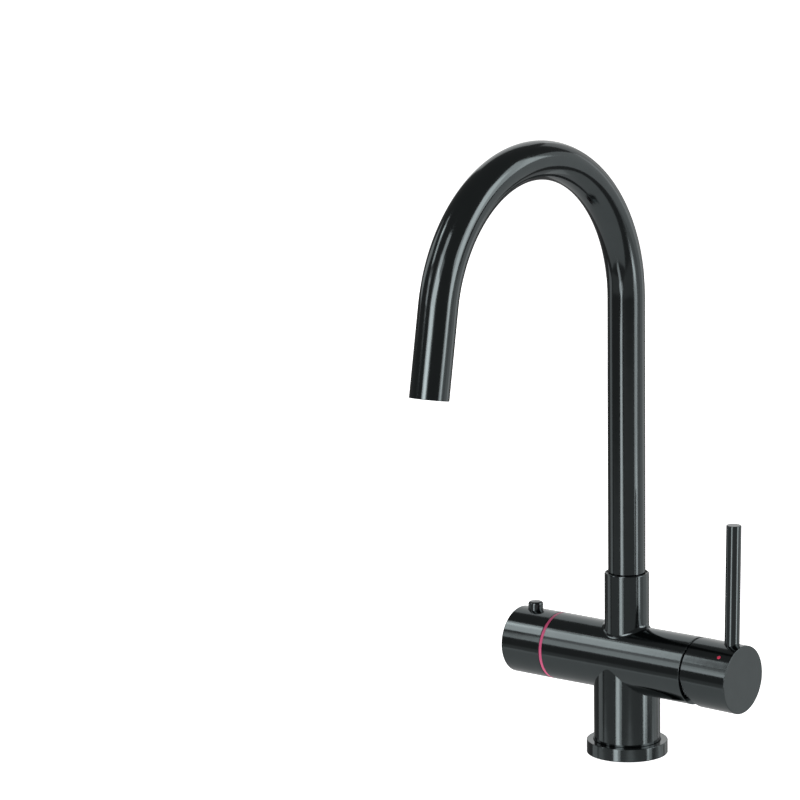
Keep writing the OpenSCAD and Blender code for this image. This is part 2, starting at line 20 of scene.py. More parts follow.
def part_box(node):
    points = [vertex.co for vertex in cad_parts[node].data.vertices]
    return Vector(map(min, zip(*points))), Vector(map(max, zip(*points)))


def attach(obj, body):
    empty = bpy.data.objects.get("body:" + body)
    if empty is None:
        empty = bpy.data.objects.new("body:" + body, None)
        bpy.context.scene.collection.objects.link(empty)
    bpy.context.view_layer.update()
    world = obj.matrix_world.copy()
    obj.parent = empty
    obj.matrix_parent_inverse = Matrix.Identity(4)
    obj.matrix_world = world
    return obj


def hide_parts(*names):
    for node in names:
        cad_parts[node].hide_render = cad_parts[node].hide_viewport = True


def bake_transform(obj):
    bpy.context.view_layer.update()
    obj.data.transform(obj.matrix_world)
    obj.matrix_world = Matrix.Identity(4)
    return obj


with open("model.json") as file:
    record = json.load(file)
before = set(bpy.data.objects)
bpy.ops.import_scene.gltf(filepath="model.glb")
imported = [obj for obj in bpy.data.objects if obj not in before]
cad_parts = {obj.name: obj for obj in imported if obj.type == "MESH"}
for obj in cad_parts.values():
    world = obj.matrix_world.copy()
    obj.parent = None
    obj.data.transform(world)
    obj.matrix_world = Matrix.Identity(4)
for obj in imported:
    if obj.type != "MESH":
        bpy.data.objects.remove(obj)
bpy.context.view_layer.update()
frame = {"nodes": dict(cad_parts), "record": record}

Array = np.ndarray
Corners = Sequence[Sequence[float]]
Tree = bpy.types.NodeTree
Socket = bpy.types.NodeSocket

log = logging.getLogger("tap")

MM = 0.001
ROUND = 256  # steps round a barrel, handle or knob
STEP = 360 / ROUND
WELD = 1e4  # points are the same within a ten-thousandth of a millimetre
WELD_SHIFT = 0.1234  # keeps round numbers off the edges between welding cells
LONGEST_ROW = 6.0  # mm between the rows of a straight wall
TINY = 1e-6


# --- Surfaces ---


def box_mm(node: str) -> tuple[Array, Array]:
    """Box of a CAD node at rest.

    Args:
        node: name of the node.

    Returns:
        Its lowest and highest corner, in millimetres.
    """
    low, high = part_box(node)
    return np.array(low) / MM, np.array(high) / MM


@dataclass(frozen=True)
class Axis:
    """A right-handed or left-handed set of directions that a profile turns about."""

    origin: tuple[float, float, float]
    along: tuple[float, float, float]
    first: tuple[float, float, float]
    second: tuple[float, float, float]

    def place(self, radius: Array, height: Array, angle: Array) -> Array:
        """Points at a radius, height and angle: origin plus height along, plus the radius turned.

        Args:
            radius: distance from the axis.
            height: distance along the axis.
            angle: radians from the first direction towards the second.

        Returns:
            The points, with a last side of 3.
        """
        return np.array(self.origin) + self.turn(radius, height, angle)

    def turn(self, radius: Array, height: Array, angle: Array) -> Array:
        """Directions with a part across and a part along the axis: place without its origin.

        Args:
            radius: part across the axis.
            height: part along it.
            angle: radians from the first direction towards the second.

        Returns:
            The directions, with a last side of 3.
        """
        radius, height, angle = np.broadcast_arrays(radius, height, angle)
        return (
            height[..., None] * np.array(self.along)
            + (radius * np.cos(angle))[..., None] * np.array(self.first)
            + (radius * np.sin(angle))[..., None] * np.array(self.second)
        )


@dataclass(frozen=True)
class Lean:
    """Turn about a line along Y through a point, which tips +Z towards +X."""

    x: float
    z: float
    degrees: float

    def direction(self, vectors: Array) -> Array:
        """Turned directions: x grows by z times the sine, z falls by x times the sine."""
        c, s = math.cos(math.radians(self.degrees)), math.sin(math.radians(self.degrees))
        return vectors @ np.array([[c, 0, -s], [0, 1, 0], [s, 0, c]])

    def point(self, points: Array) -> Array:
        """Turned points."""
        pivot = np.array([self.x, 0, self.z])
        return pivot + self.direction(points - pivot)


def circle(steps: int = ROUND) -> Array:
    """Angles once round, the last the same place as the first."""
    return np.linspace(0, 2 * math.pi, steps + 1)


def shares(steps: int) -> Array:
    """Even shares from 0 to 1, as a column."""
    return np.linspace(0, 1, steps + 1)[:, None]


def rounded_profile(corners: Corners, arc_steps: int = 6) -> list[tuple[Array, Array]]:
    """Lines and arcs of an open profile with rounded corners, its solid on the left.

    At a corner the normal turns from one line's to the next one's, and the point is the arc's
    centre plus the rounding times the normal, or minus it in an inner corner.

    Args:
        corners: radius, height and, where the corner is rounded, its rounding radius.
        arc_steps: steps in each arc.

    Returns:
        Runs of points and normals, each of them (radius, height).
    """
    at = np.array([c[:2] for c in corners], float)
    rounding = np.array([c[2] if len(c) > 2 else 0 for c in corners], float)
    side = np.diff(at, axis=0)
    side = side / np.linalg.norm(side, axis=1, keepdims=True)
    out = np.stack([side[:, 1], -side[:, 0]], axis=1)
    start = at[:-1].copy()
    end = at[1:].copy()
    arcs: dict[int, tuple[Array, Array]] = {}
    for i in range(1, len(at) - 1):
        turn = math.atan2(*_cross_dot(side[i - 1], side[i]))
        if not rounding[i] or abs(turn) < TINY:
            continue
        reach = rounding[i] * math.tan(abs(turn) / 2)
        end[i - 1] = at[i] - side[i - 1] * reach
        start[i] = at[i] + side[i] * reach
        bulge = math.copysign(rounding[i], turn)
        angles = math.atan2(out[i - 1][1], out[i - 1][0]) + turn * shares(arc_steps)
        normal = np.concatenate([np.cos(angles), np.sin(angles)], axis=1)
        arcs[i] = (end[i - 1] - bulge * out[i - 1] + bulge * normal, normal)
    runs = []
    for i in range(len(side)):
        if i in arcs:
            runs.append(arcs[i])
        length = np.linalg.norm(end[i] - start[i])
        if length > TINY:
            share = shares(max(1, math.ceil(length / LONGEST_ROW)))
            line = start[i] + (end[i] - start[i]) * share
            runs.append((line, np.broadcast_to(out[i], line.shape)))
    return runs


def _cross_dot(a: Array, b: Array) -> tuple[float, float]:
    """Cross and dot product of two flat directions."""
    return float(a[0] * b[1] - a[1] * b[0]), float(a @ b)


@dataclass
class Surface:
    """One closed surface of a piece, collected from grids of points that share their edges."""

    name: str
    points: list[Array] = field(default_factory=list)
    normals: list[Array] = field(default_factory=list)
    quads: list[Array] = field(default_factory=list)
    count: int = 0

    def add(self, points: Array, normals: Array) -> None:
        """Adds a grid; its faces are turned to the side of its normals.

        Args:
            points: rows by columns by 3, in millimetres.
            normals: the surface's own normals at those points.
        """
        rows, columns = points.shape[:2]
        index = self.count + np.arange(rows * columns).reshape(rows, columns)
        quads = np.stack(
            [index[:-1, :-1], index[1:, :-1], index[1:, 1:], index[:-1, 1:]], axis=-1
        ).reshape(-1, 4)
        self.points.append(points.reshape(-1, 3))
        self.normals.append(np.broadcast_to(normals, points.shape).reshape(-1, 3))
        self.quads.append(quads)
        self.count += rows * columns

    def turn_profile(
        self, axis: Axis, corners: Corners, angles: Array | None = None,
        arc_steps: int = 6,
    ) -> None:
        """Turns a rounded profile about an axis.

        Args:
            axis: what it turns about.
            corners: as for rounded_profile.
            angles: angles of the columns; once round in even steps if none are given.
            arc_steps: steps in each arc.
        """
        angles = circle() if angles is None else angles
        for line, normal in rounded_profile(corners, arc_steps):
            self.add(
                axis.place(line[:, :1], line[:, 1:], angles[None, :]),
                axis.turn(normal[:, :1], normal[:, 1:], angles[None, :]),
            )

    def sleeve(
        self, axis: Axis, radius: float, angles: Array, low: Array | float,
        high: Array | float, inward: bool, rows: int = 1,
    ) -> None:
        """Round wall between two heights, which may change round it.

        Args:
            axis: the wall's axis.
            radius: its radius.
            angles: angles of its columns.
            low: height of the first edge at each angle.
            high: height of the last edge at each angle.
            inward: whether it faces its axis.
            rows: steps along it.
        """
        height = low + (np.asarray(high) - low) * shares(rows) + 0 * angles
        out = axis.turn(np.ones_like(height), np.zeros_like(height), angles[None, :])
        self.add(axis.place(radius, height, angles[None, :]), -out if inward else out)

    def flat_ring(
        self, axis: Axis, radii: tuple[float, float], angles: Array, height: float,
        facing: int,
    ) -> None:
        """Flat ring or disc across an axis.

        Args:
            axis: what it lies across.
            radii: its two radii; one may be 0.
            angles: angles of its columns.
            height: where it lies.
            facing: 1 for along the axis, -1 for against it.
        """
        steps = max(1, math.ceil(abs(radii[1] - radii[0]) / LONGEST_ROW))
        radius = np.linspace(radii[0], radii[1], steps + 1)[:, None] + 0 * angles
        self.add(
            axis.place(radius, height, angles[None, :]), facing * np.array(axis.along, float)
        )

    def lean(self, turn: Lean) -> None:
        """Turns all that was added so far, as the mixer handle leans at rest."""
        self.points = [turn.point(p) for p in self.points]
        self.normals = [turn.direction(n) for n in self.normals]

    def piece(self) -> bpy.types.Object:
        """Welds the grids and makes the mesh.

        Points that fall into one cell of the welding lattice become one vertex. A quad with two
        equal corners becomes a triangle, as at a pole.

        Returns:
            The object, at the origin.
        """
        points = np.concatenate(self.points)
        normals = np.concatenate(self.normals)
        quads = np.concatenate(self.quads)
        normals = normals / np.linalg.norm(normals, axis=1, keepdims=True)
        a, b, c, d = (points[quads[:, k]] for k in range(4))
        facing = np.einsum("ij,ij->i", np.cross(c - a, d - b), normals[quads].sum(1))
        quads[facing < 0] = quads[facing < 0][:, ::-1]
        cells = np.floor(points * WELD + WELD_SHIFT).astype(np.int64)
        _, first, cell = np.unique(cells, axis=0, return_index=True, return_inverse=True)
        cell = cell.reshape(-1)
        welded = cell[quads]
        same = welded == np.roll(welded, -1, axis=1)
        whole = quads[same.sum(1) == 0]
        one = same.sum(1) == 1
        at = same[one].argmax(1)
        keep = (at[:, None] + np.arange(1, 4)) % 4
        threes = np.take_along_axis(quads[one], keep, axis=1)
        mesh = bpy.data.meshes.new(self.name)
        mesh.from_pydata(
            (points[first] * MM).tolist(), [], cell[whole].tolist() + cell[threes].tolist()
        )
        mesh.polygons.foreach_set("use_smooth", np.ones(len(mesh.polygons), bool))
        corners = np.concatenate([normals[whole].reshape(-1, 3), normals[threes].reshape(-1, 3)])
        mesh.normals_split_custom_set(corners.tolist())
        mesh.update()
        made = bpy.data.objects.new(self.name, mesh)
        bpy.context.scene.collection.objects.link(made)
        return made


@dataclass(frozen=True)
class Bore:
    """A round hole or boss whose axis stands on the axis of a barrel, and the window it sits in.

    Its rim is rounded by a ball that rolls along both walls: the ball's centre keeps its radius
    from the bore's wall and from the barrel's skin.
    """

    x: float
    angle: float  # degrees from the top towards the front
    radius: float
    rim: float = 0.0
    middle_step: int = 0  # the window's middle, in steps round the barrel
    half_steps: int = 12
    boss: bool = False
    rim_steps: int = 6

    def axis(self, height: float) -> Axis:
        """The bore's own axis, which points away from the barrel's axis.

        Args:
            height: height of the barrel's axis.

        Returns:
            The axis. Its first direction runs along the barrel.
        """
        a = math.radians(self.angle)
        return Axis(
            (self.x, 0, height),
            (0, -math.sin(a), math.cos(a)),
            (1, 0, 0),
            (0, -math.cos(a), -math.sin(a)),
        )


@dataclass(frozen=True)
class Barrel:
    """A round wall along X, seen from outside or from inside."""

    radius: float
    height: float  # of its axis
    inward: bool = False
    rings: ClassVar[int] = 12  # rings between a bore and its window's edge
    crowding: ClassVar[float] = 1.6  # draws the rings towards the bore

    @property
    def axis(self) -> Axis:
        """Angles start at the top and turn towards the front."""
        return Axis((0, 0, self.height), (1, 0, 0), (0, 0, 1), (0, -1, 0))

    def chart(self, surface: Surface, x: Array, angle: Array) -> None:
        """Adds a patch of the wall.

        Args:
            surface: where the grid goes.
            x: places of its points along the barrel.
            angle: their angles round it.
        """
        out = self.axis.turn(np.ones_like(x), np.zeros_like(x), angle)
        wall = self.axis.place(np.full_like(x, self.radius), x, angle)
        surface.add(wall, -out if self.inward else out)

    def band(
        self, surface: Surface, x: tuple[float, float], columns: int, bores: Sequence[Bore],
        angles: Sequence[Array] = (),
    ) -> list[tuple[Array, Array]]:
        """A stretch of the wall with a window for each bore.

        Each window is a rectangle of whole steps. Rings run from the bore's rim to the
        rectangle's edge, in straight lines over the unrolled wall.

        Args:
            surface: where the grids go.
            x: ends of the stretch.
            columns: steps along it.
            bores: the bores, with windows that don't overlap.
            angles: angles of each bore's columns where another wall has them already.

        Returns:
            For each bore the angles of its columns, and the heights at which its wall starts.
        """
        along = np.linspace(x[0], x[1], columns + 1)
        ends = sorted((b.middle_step - b.half_steps, b.middle_step + b.half_steps) for b in bores)
        start = ends[0][1]
        for low, high in ends[1:] + [(ends[0][0] + ROUND, 0)]:
            steps = np.radians(np.arange(start, low + 1) * STEP)
            if len(steps) > 1:
                self.chart(surface, *np.meshgrid(along, steps, indexing="ij"))
            start = high
        given = angles or [None] * len(bores)
        return [self._window(surface, along, b, phi) for b, phi in zip(bores, given)]

    def _window(
        self, surface: Surface, along: Array, bore: Bore, phi: Array | None
    ) -> tuple[Array, Array]:
        """Rings between a bore's rim and its window's edge, and the rounded rim itself.

        Args:
            surface: where the grids go.
            along: places of the window's columns along the barrel.
            bore: the bore.
            phi: angles of the bore's columns, or None to take them from the window's edge.

        Returns:
            The angles of the bore's columns, and the heights at which its wall starts.
        """
        low, high = bore.middle_step - bore.half_steps, bore.middle_step + bore.half_steps
        steps = np.radians(np.arange(low, high + 1) * STEP)
        across, sideways = np.ones(len(along) - 1), np.ones(len(steps) - 1)
        edge_x = np.concatenate(
            [along[-1:], along[-1] * sideways, along[-2::-1], along[0] * sideways, along[1:]]
        )
        edge_angle = np.concatenate([steps, steps[-1] * across, steps[-2::-1], steps[0] * across])
        middle = math.radians(bore.angle)
        if phi is None:
            phi = np.unwrap(np.arctan2((edge_angle - middle) * self.radius, edge_x - bore.x))
        side = 1 if bore.boss else -1
        reach = bore.radius + bore.rim
        height = self.radius + side * bore.rim
        psi = np.arcsin(reach * np.sin(phi) / height)
        rim_x = bore.x + reach * np.cos(phi)
        share = shares(self.rings) ** self.crowding
        self.chart(
            surface,
            rim_x + (edge_x - rim_x) * share,
            middle + psi + (edge_angle - middle - psi) * share,
        )
        if bore.rim:
            self._rim(surface, bore, phi, psi, height, side)
        return phi, height * np.cos(psi)

    def _rim(
        self, surface: Surface, bore: Bore, phi: Array, psi: Array, height: float, side: int
    ) -> None:
        """The strip that the rolling ball touches, from the bore's wall to the barrel's skin.

        Args:
            surface: where the grid goes.
            bore: the bore.
            phi: angles of its columns round it.
            psi: angles of the ball's centre round the barrel, from the bore's middle.
            height: distance of the ball's centre from the barrel's axis.
            side: 1 for a boss, -1 for a hole.
        """
        axis = bore.axis(self.height)
        zero = np.zeros_like(phi)
        centre = np.stack(
            [(bore.radius + bore.rim) * np.cos(phi), height * np.sin(psi), height * np.cos(psi)], -1
        )
        to_wall = np.stack([-np.cos(phi), -np.sin(phi), zero], -1)
        to_skin = -side * np.stack([zero, np.sin(psi), np.cos(psi)], -1)
        between = np.arccos(np.clip((to_wall * to_skin).sum(-1), -1, 1))[None, :, None]
        share = shares(bore.rim_steps)[..., None]
        way = (
            np.sin((1 - share) * between) * to_wall + np.sin(share * between) * to_skin
        ) / np.sin(between)
        spot = centre + bore.rim * way
        basis = np.array([axis.first, axis.second, axis.along])
        surface.add(np.array(axis.origin) + spot @ basis, (-side * way) @ basis)


# --- Finishes ---


def linear(colour: str) -> tuple[float, float, float, float]:
    """Turns an sRGB colour into linear light.

    Args:
        colour: its hex code.

    Returns:
        Linear red, green and blue, and an alpha of 1.
    """
    parts = np.array([int(colour[i : i + 2], 16) for i in (1, 3, 5)]) / 255
    low, high = parts / 12.92, ((parts + 0.055) / 1.055) ** 2.4
    return (*np.where(parts <= 0.04045, low, high).tolist(), 1.0)


def empty_tree(owner: bpy.types.Material | bpy.types.World) -> Tree:
    """Switches nodes on and clears them.

    Args:
        owner: material or world.

    Returns:
        Its empty node tree.
    """
    owner.use_nodes = True
    owner.node_tree.nodes.clear()
    return owner.node_tree


def add_node(
    tree: Tree, kind: str, inputs: dict[str | int, Any] | None = None, **settings: Any
) -> bpy.types.Node:
    """Adds a node with its values, links and settings.

    Args:
        tree: the node tree.
        kind: the node's type, without the word that all shader nodes start with.
        inputs: values by socket, or output sockets to link from.
        **settings: properties of the node.

    Returns:
        The node.
    """
    node = tree.nodes.new("ShaderNode" + kind)
    for name, value in settings.items():
        setattr(node, name, value)
    for name, value in (inputs or {}).items():
        if isinstance(value, Socket):
            tree.links.new(value, node.inputs[name])
        else:
            node.inputs[name].default_value = value
    return node


class Making(Enum):
    """How a surface was made, which decides its relief."""

    POLISHED = "polished, then coated"
    TURNED_Z = "turned on a lathe about the column's axis"
    TURNED_X = "turned on a lathe about the barrel's axis"
    MOULDED = "moulded in an eroded tool"


@dataclass(frozen=True)
class Finish:
    """A surface: what it is made of, how it was made and how it looks."""

    name: str
    colour: str
    making: Making
    metallic: float = 0.0
    roughness: float = 0.4
    roughness_spread: float = 0.05
    grain_mm: float = 0.4
    relief_mm: float = 0.002
    wave_mm: float = 0.0  # height of a slow waviness, if the surface has one
    shade: float = 0.06  # share by which the colour varies
    ior: float | None = None
    wave_length_mm: ClassVar[float] = 11.0
    wave_detail: ClassVar[float] = 2.0
    grain_detail: ClassVar[float] = 3.0
    groove_stretch: ClassVar[float] = 24.0  # a lathe groove's length over its pitch
    usual: ClassVar[tuple[float, float]] = (0.3, 0.7)  # most of the noise lies between these

    def material(self) -> bpy.types.Material:
        """The material, made once.

        Returns:
            A Principled surface whose colour, roughness and height follow a grain of real size.
        """
        made = bpy.data.materials.get(self.name)
        if made:
            return made
        made = bpy.data.materials.new(self.name)
        tree = empty_tree(made)
        place = add_node(tree, "TexCoord").outputs["Object"]
        grain = self._grain(tree, place)
        patch = self._noise(tree, place, self.wave_length_mm, self.wave_detail)
        rough = add_node(tree, "MapRange", {
            "Value": grain, "From Min": self.usual[0], "From Max": self.usual[1],
            "To Min": self.roughness - self.roughness_spread,
            "To Max": self.roughness + self.roughness_spread,
        })
        shader = add_node(tree, "BsdfPrincipled", {
            "Base Color": self._tone(tree, patch), "Metallic": self.metallic,
            "Roughness": rough.outputs["Result"], "Normal": self._relief(tree, grain, patch),
        })
        if self.ior:
            shader.inputs["IOR"].default_value = self.ior
        add_node(tree, "OutputMaterial", {"Surface": shader.outputs["BSDF"]})
        return made

    @staticmethod
    def _noise(tree: Tree, place: Socket, size_mm: float, detail: float) -> Socket:
        """Noise whose spots have a size in millimetres."""
        inputs = {"Vector": place, "Scale": 1 / (size_mm * MM), "Detail": detail}
        return add_node(tree, "TexNoise", inputs, noise_dimensions="3D").outputs["Fac"]

    def _grain(self, tree: Tree, place: Socket) -> Socket:
        """The fine grain: even spots, or spots drawn out round the axis of the lathe.

        Args:
            tree: the node tree.
            place: coordinates on the piece.

        Returns:
            The grain, about 0.5 on the whole.
        """
        squeeze = {Making.TURNED_Z: (1, 1, 0), Making.TURNED_X: (0, 1, 1)}.get(self.making)
        if squeeze:
            scale = tuple(1 / self.groove_stretch if s else 1.0 for s in squeeze)
            inputs = {"Vector": place, "Scale": scale}
            place = add_node(tree, "Mapping", inputs, vector_type="POINT").outputs["Vector"]
        if self.making is Making.MOULDED:
            inputs = {"Vector": place, "Scale": 1 / (self.grain_mm * MM), "Smoothness": 1.0}
            return add_node(tree, "TexVoronoi", inputs, feature="SMOOTH_F1").outputs["Distance"]
        return self._noise(tree, place, self.grain_mm, self.grain_detail)

    def _tone(self, tree: Tree, share: Socket) -> Socket:
        """The colour, which drifts a little from darker to lighter.

        Args:
            tree: the node tree.
            share: noise that the drift follows.

        Returns:
            The colour.
        """
        base = linear(self.colour)
        ramp = add_node(tree, "ValToRGB", {"Fac": share})
        for stop, place, gain in zip(ramp.color_ramp.elements, self.usual, (-1, 1)):
            stop.position = place
            stop.color = tuple(min(1.0, c * (1 + gain * self.shade)) for c in base[:3]) + (1.0,)
        return ramp.outputs["Color"]

    def _relief(self, tree: Tree, grain: Socket, patch: Socket) -> Socket:
        """The grain's relief, on top of the slow waviness where there is one.

        Args:
            tree: the node tree.
            grain: height of the fine grain.
            patch: height of the slow waviness.

        Returns:
            The normal.
        """
        relief: dict[str | int, Any] = {"Height": grain, "Distance": self.relief_mm * MM}
        if self.wave_mm:
            wave = add_node(tree, "Bump", {"Height": patch, "Distance": self.wave_mm * MM})
            relief["Normal"] = wave.outputs["Normal"]
        return add_node(tree, "Bump", relief).outputs["Normal"]


# Brass, polished and given a dark grey film in a vacuum. The film keeps the polish, so strips of
# light stay crisp, and the polishing wheel leaves a slow waviness that makes their edges waver.
COATED = Finish(
    "gunmetal_coated_brass", "#53595a", Making.POLISHED, metallic=1.0, roughness=0.12,
    roughness_spread=0.012, grain_mm=0.5, relief_mm=0.0001, wave_mm=0.03, shade=0.03,
)
# Bare brass off the lathe: yellow, with fine grooves round it.
BRASS = Finish(
    "turned_brass", "#b9975b", Making.TURNED_Z, metallic=1.0, roughness=0.27, grain_mm=0.3,
    relief_mm=0.003,
)
# The same for pieces that lie along the barrel.
BRASS_X = replace(BRASS, name="turned_brass_along_barrel", making=Making.TURNED_X)
# Black nitrile rubber from a mould: dull, with a fine pebbled skin.
RUBBER = Finish(
    "moulded_nitrile_rubber", "#1b1b1b", Making.MOULDED, roughness=0.68, grain_mm=0.25,
    relief_mm=0.006, ior=1.52,
)
# Alumina, ground flat on a plate: off-white and faintly shiny, with hardly any relief.
CERAMIC = Finish(
    "lapped_alumina", "#e8e6df", Making.POLISHED, roughness=0.18, grain_mm=0.6,
    relief_mm=0.0004, shade=0.02, ior=1.76,
)
# Black acetal from an eroded mould: satin and slightly pebbled.
DARK_PLASTIC = Finish(
    "moulded_black_acetal", "#17191a", Making.MOULDED, roughness=0.42, grain_mm=0.3,
    relief_mm=0.004, ior=1.48,
)
# The cover over the cartridge: the same plastic in a mid grey, which the gap's shade darkens.
GREY_PLASTIC = replace(DARK_PLASTIC, name="moulded_grey_acetal", colour="#6d7375")
# Acetal in its natural milky white, a little smoother.
WHITE_PLASTIC = Finish(
    "moulded_natural_acetal", "#d4d7d7", Making.MOULDED, roughness=0.38, grain_mm=0.35,
    relief_mm=0.004, shade=0.03, ior=1.48,
)
# Stainless bar, turned: a light, neutral grey with fine grooves.
STEEL = Finish(
    "turned_stainless_steel", "#a7abad", Making.TURNED_Z, metallic=1.0, roughness=0.26,
    grain_mm=0.2, relief_mm=0.002,
)
# The same for pieces that lie along the barrel.
STEEL_X = replace(STEEL, name="turned_stainless_along_barrel", making=Making.TURNED_X)
# Pink-red acetal for the ring: softly shiny, and a little milky.
RING_RED = Finish(
    "moulded_ring_acetal", "#bf4a73", Making.MOULDED, roughness=0.33, grain_mm=0.3,
    relief_mm=0.002, ior=1.48,
)
# The same in a full red and in blue, for the two markers.
HOT_RED = replace(RING_RED, name="moulded_hot_marker_acetal", colour="#ca274c")
COLD_BLUE = replace(RING_RED, name="moulded_cold_marker_acetal", colour="#2f6fc4")


SLOT_FINISH = {
    "coated_brass": COATED, "raw_brass": BRASS, "rubber": RUBBER, "ceramic": CERAMIC,
    "dark_plastic": DARK_PLASTIC, "white_plastic": WHITE_PLASTIC, "steel": STEEL,
    "ring_red": RING_RED, "hot_red": HOT_RED, "cold_blue": COLD_BLUE,
}
SLOTS = {part["node"]: part["material_slot"] for part in frame["record"]["subparts"]}


def dress_piece(piece: bpy.types.Object, body: str | None, *nodes: str) -> None:
    """Gives a new piece the finish and the slot of the nodes that it stands for, and its body.

    Args:
        piece: the piece, with its final mesh.
        body: the body that it rides on, or None to leave it on no body.
        *nodes: the CAD nodes that it stands for.
    """
    slot = SLOTS[nodes[0]]
    piece.data.materials.append(SLOT_FINISH[slot].material())
    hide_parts(*nodes)
    if body:
        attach(piece, body)
    log.info("%s: %d faces", piece.name, len(piece.data.polygons))


# --- Sub-assemblies ---

BROKEN = 0.15  # rounding of an edge that was only broken


def upright(x: float = 0.0, z: float = 0.0) -> Axis:
    """A vertical axis through a point of the plane that holds the barrel's axis."""
    return Axis((x, 0, z), (0, 0, 1), (1, 0, 0), (0, 1, 0))


@dataclass
class Casting:
    """Cross barrel with its collar and bores, and the indicator ring at its left end."""

    radius: float = 21.5
    edge: float = 0.4
    valve_port: tuple[float, float] = (10.5, -18.0)  # radius, and x of its inner end
    valve_bore: tuple[float, float] = (17.0, -44.0)
    cartridge_bore: tuple[float, float] = (17.6, 14.0)
    cartridge_mouth: tuple[float, float] = (18.6, 43.0)
    mouth_edge: float = 0.2
    ring_seat_r: float = 19.6
    ring_bore: float = 19.65
    ring_crown: float = 0.1  # by which its middle stands out
    ring_edge: float = 0.3
    ring_round: float = 3.0
    collar_r: float = 14.2
    fillet: float = 2.8
    fillet_steps: int = 12
    collar_edge: float = 0.8
    collar_lip: float = 2.0  # height over which the collar is turned together with its bores
    collar_rows: int = 6
    bores: tuple[tuple[float, float], ...] = ((13.1, 112.0), (12.3, 96.0), (11.0, 72.5))
    window: float = 24.0
    window_steps: int = 46
    window_columns: int = 64
    seat_x: float = field(init=False)
    right: float = field(init=False)
    left: float = field(init=False)
    shoulder_r: float = field(init=False)
    axis_z: float = field(init=False)
    top: float = field(init=False)
    ring_gap: ClassVar[float] = 0.02

    def __post_init__(self) -> None:
        """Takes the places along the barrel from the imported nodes."""
        low, high = box_mm("barrel_casting")
        self.seat_x, self.right = low[0], high[0]
        self.shoulder_r = high[1]
        self.axis_z = low[2] + high[1]
        self.top = high[2]
        self.left = box_mm("indicator_ring")[1][0] + self.ring_gap

    def build(self) -> None:
        """The barrel turned along X, with one window where the collar grows out of it."""
        barrel = Barrel(self.radius, self.axis_z)
        skin = Surface("cross_barrel")
        (port_r, port_x), (valve_r, valve_x) = self.valve_port, self.valve_bore
        (bore_r, bore_x), (mouth_r, mouth_x) = self.cartridge_bore, self.cartridge_mouth
        skin.turn_profile(barrel.axis, [
            (0, port_x), (port_r, port_x), (port_r, valve_x), (valve_r, valve_x),
            (valve_r, self.seat_x), (self.ring_seat_r, self.seat_x),
            (self.ring_seat_r, self.left), (self.shoulder_r, self.left, BROKEN),
            (self.radius, -self.window),
        ])
        skin.turn_profile(barrel.axis, [
            (self.radius, self.window), (self.radius, self.right, self.edge),
            (mouth_r, self.right, self.mouth_edge), (mouth_r, mouth_x), (bore_r, mouth_x),
            (bore_r, bore_x), (0, bore_x),
        ])
        collar = Bore(
            0, 0, self.collar_r, self.fillet, 0, self.window_steps, boss=True,
            rim_steps=self.fillet_steps,
        )
        window = (-self.window, self.window)
        ((phi, start),) = barrel.band(skin, window, self.window_columns, [collar])
        up = collar.axis(self.axis_z)
        top = self.top - self.axis_z
        lip = top - self.collar_lip
        skin.sleeve(up, self.collar_r, phi, start, lip, inward=False, rows=self.collar_rows)
        profile: list[tuple[float, ...]] = [
            (self.collar_r, lip), (self.collar_r, top, self.collar_edge),
            (self.bores[0][0], top, BROKEN),
        ]
        for (radius, foot), (deeper, _) in zip(self.bores, (*self.bores[1:], (0.0, 0.0))):
            profile += [(radius, foot - self.axis_z), (deeper, foot - self.axis_z)]
        skin.turn_profile(up, profile, phi)
        dress_piece(skin.piece(), "tap_body", "barrel_casting")
        self._ring()

    def _ring(self) -> None:
        """Indicator ring: a turned band with a slightly crowned outside."""
        low, high = box_mm("indicator_ring")
        side = high[1] - self.ring_crown
        ring = Surface("indicator_ring_trim")
        ring.turn_profile(Barrel(self.radius, self.axis_z).axis, [
            (self.ring_bore, high[0]), (self.ring_bore, low[0]), (side, low[0], self.ring_edge),
            (high[1], (low[0] + high[0]) / 2, self.ring_round), (side, high[0], self.ring_edge),
            (self.ring_bore, high[0]),
        ])
        dress_piece(ring.piece(), "tap_body", "indicator_ring")


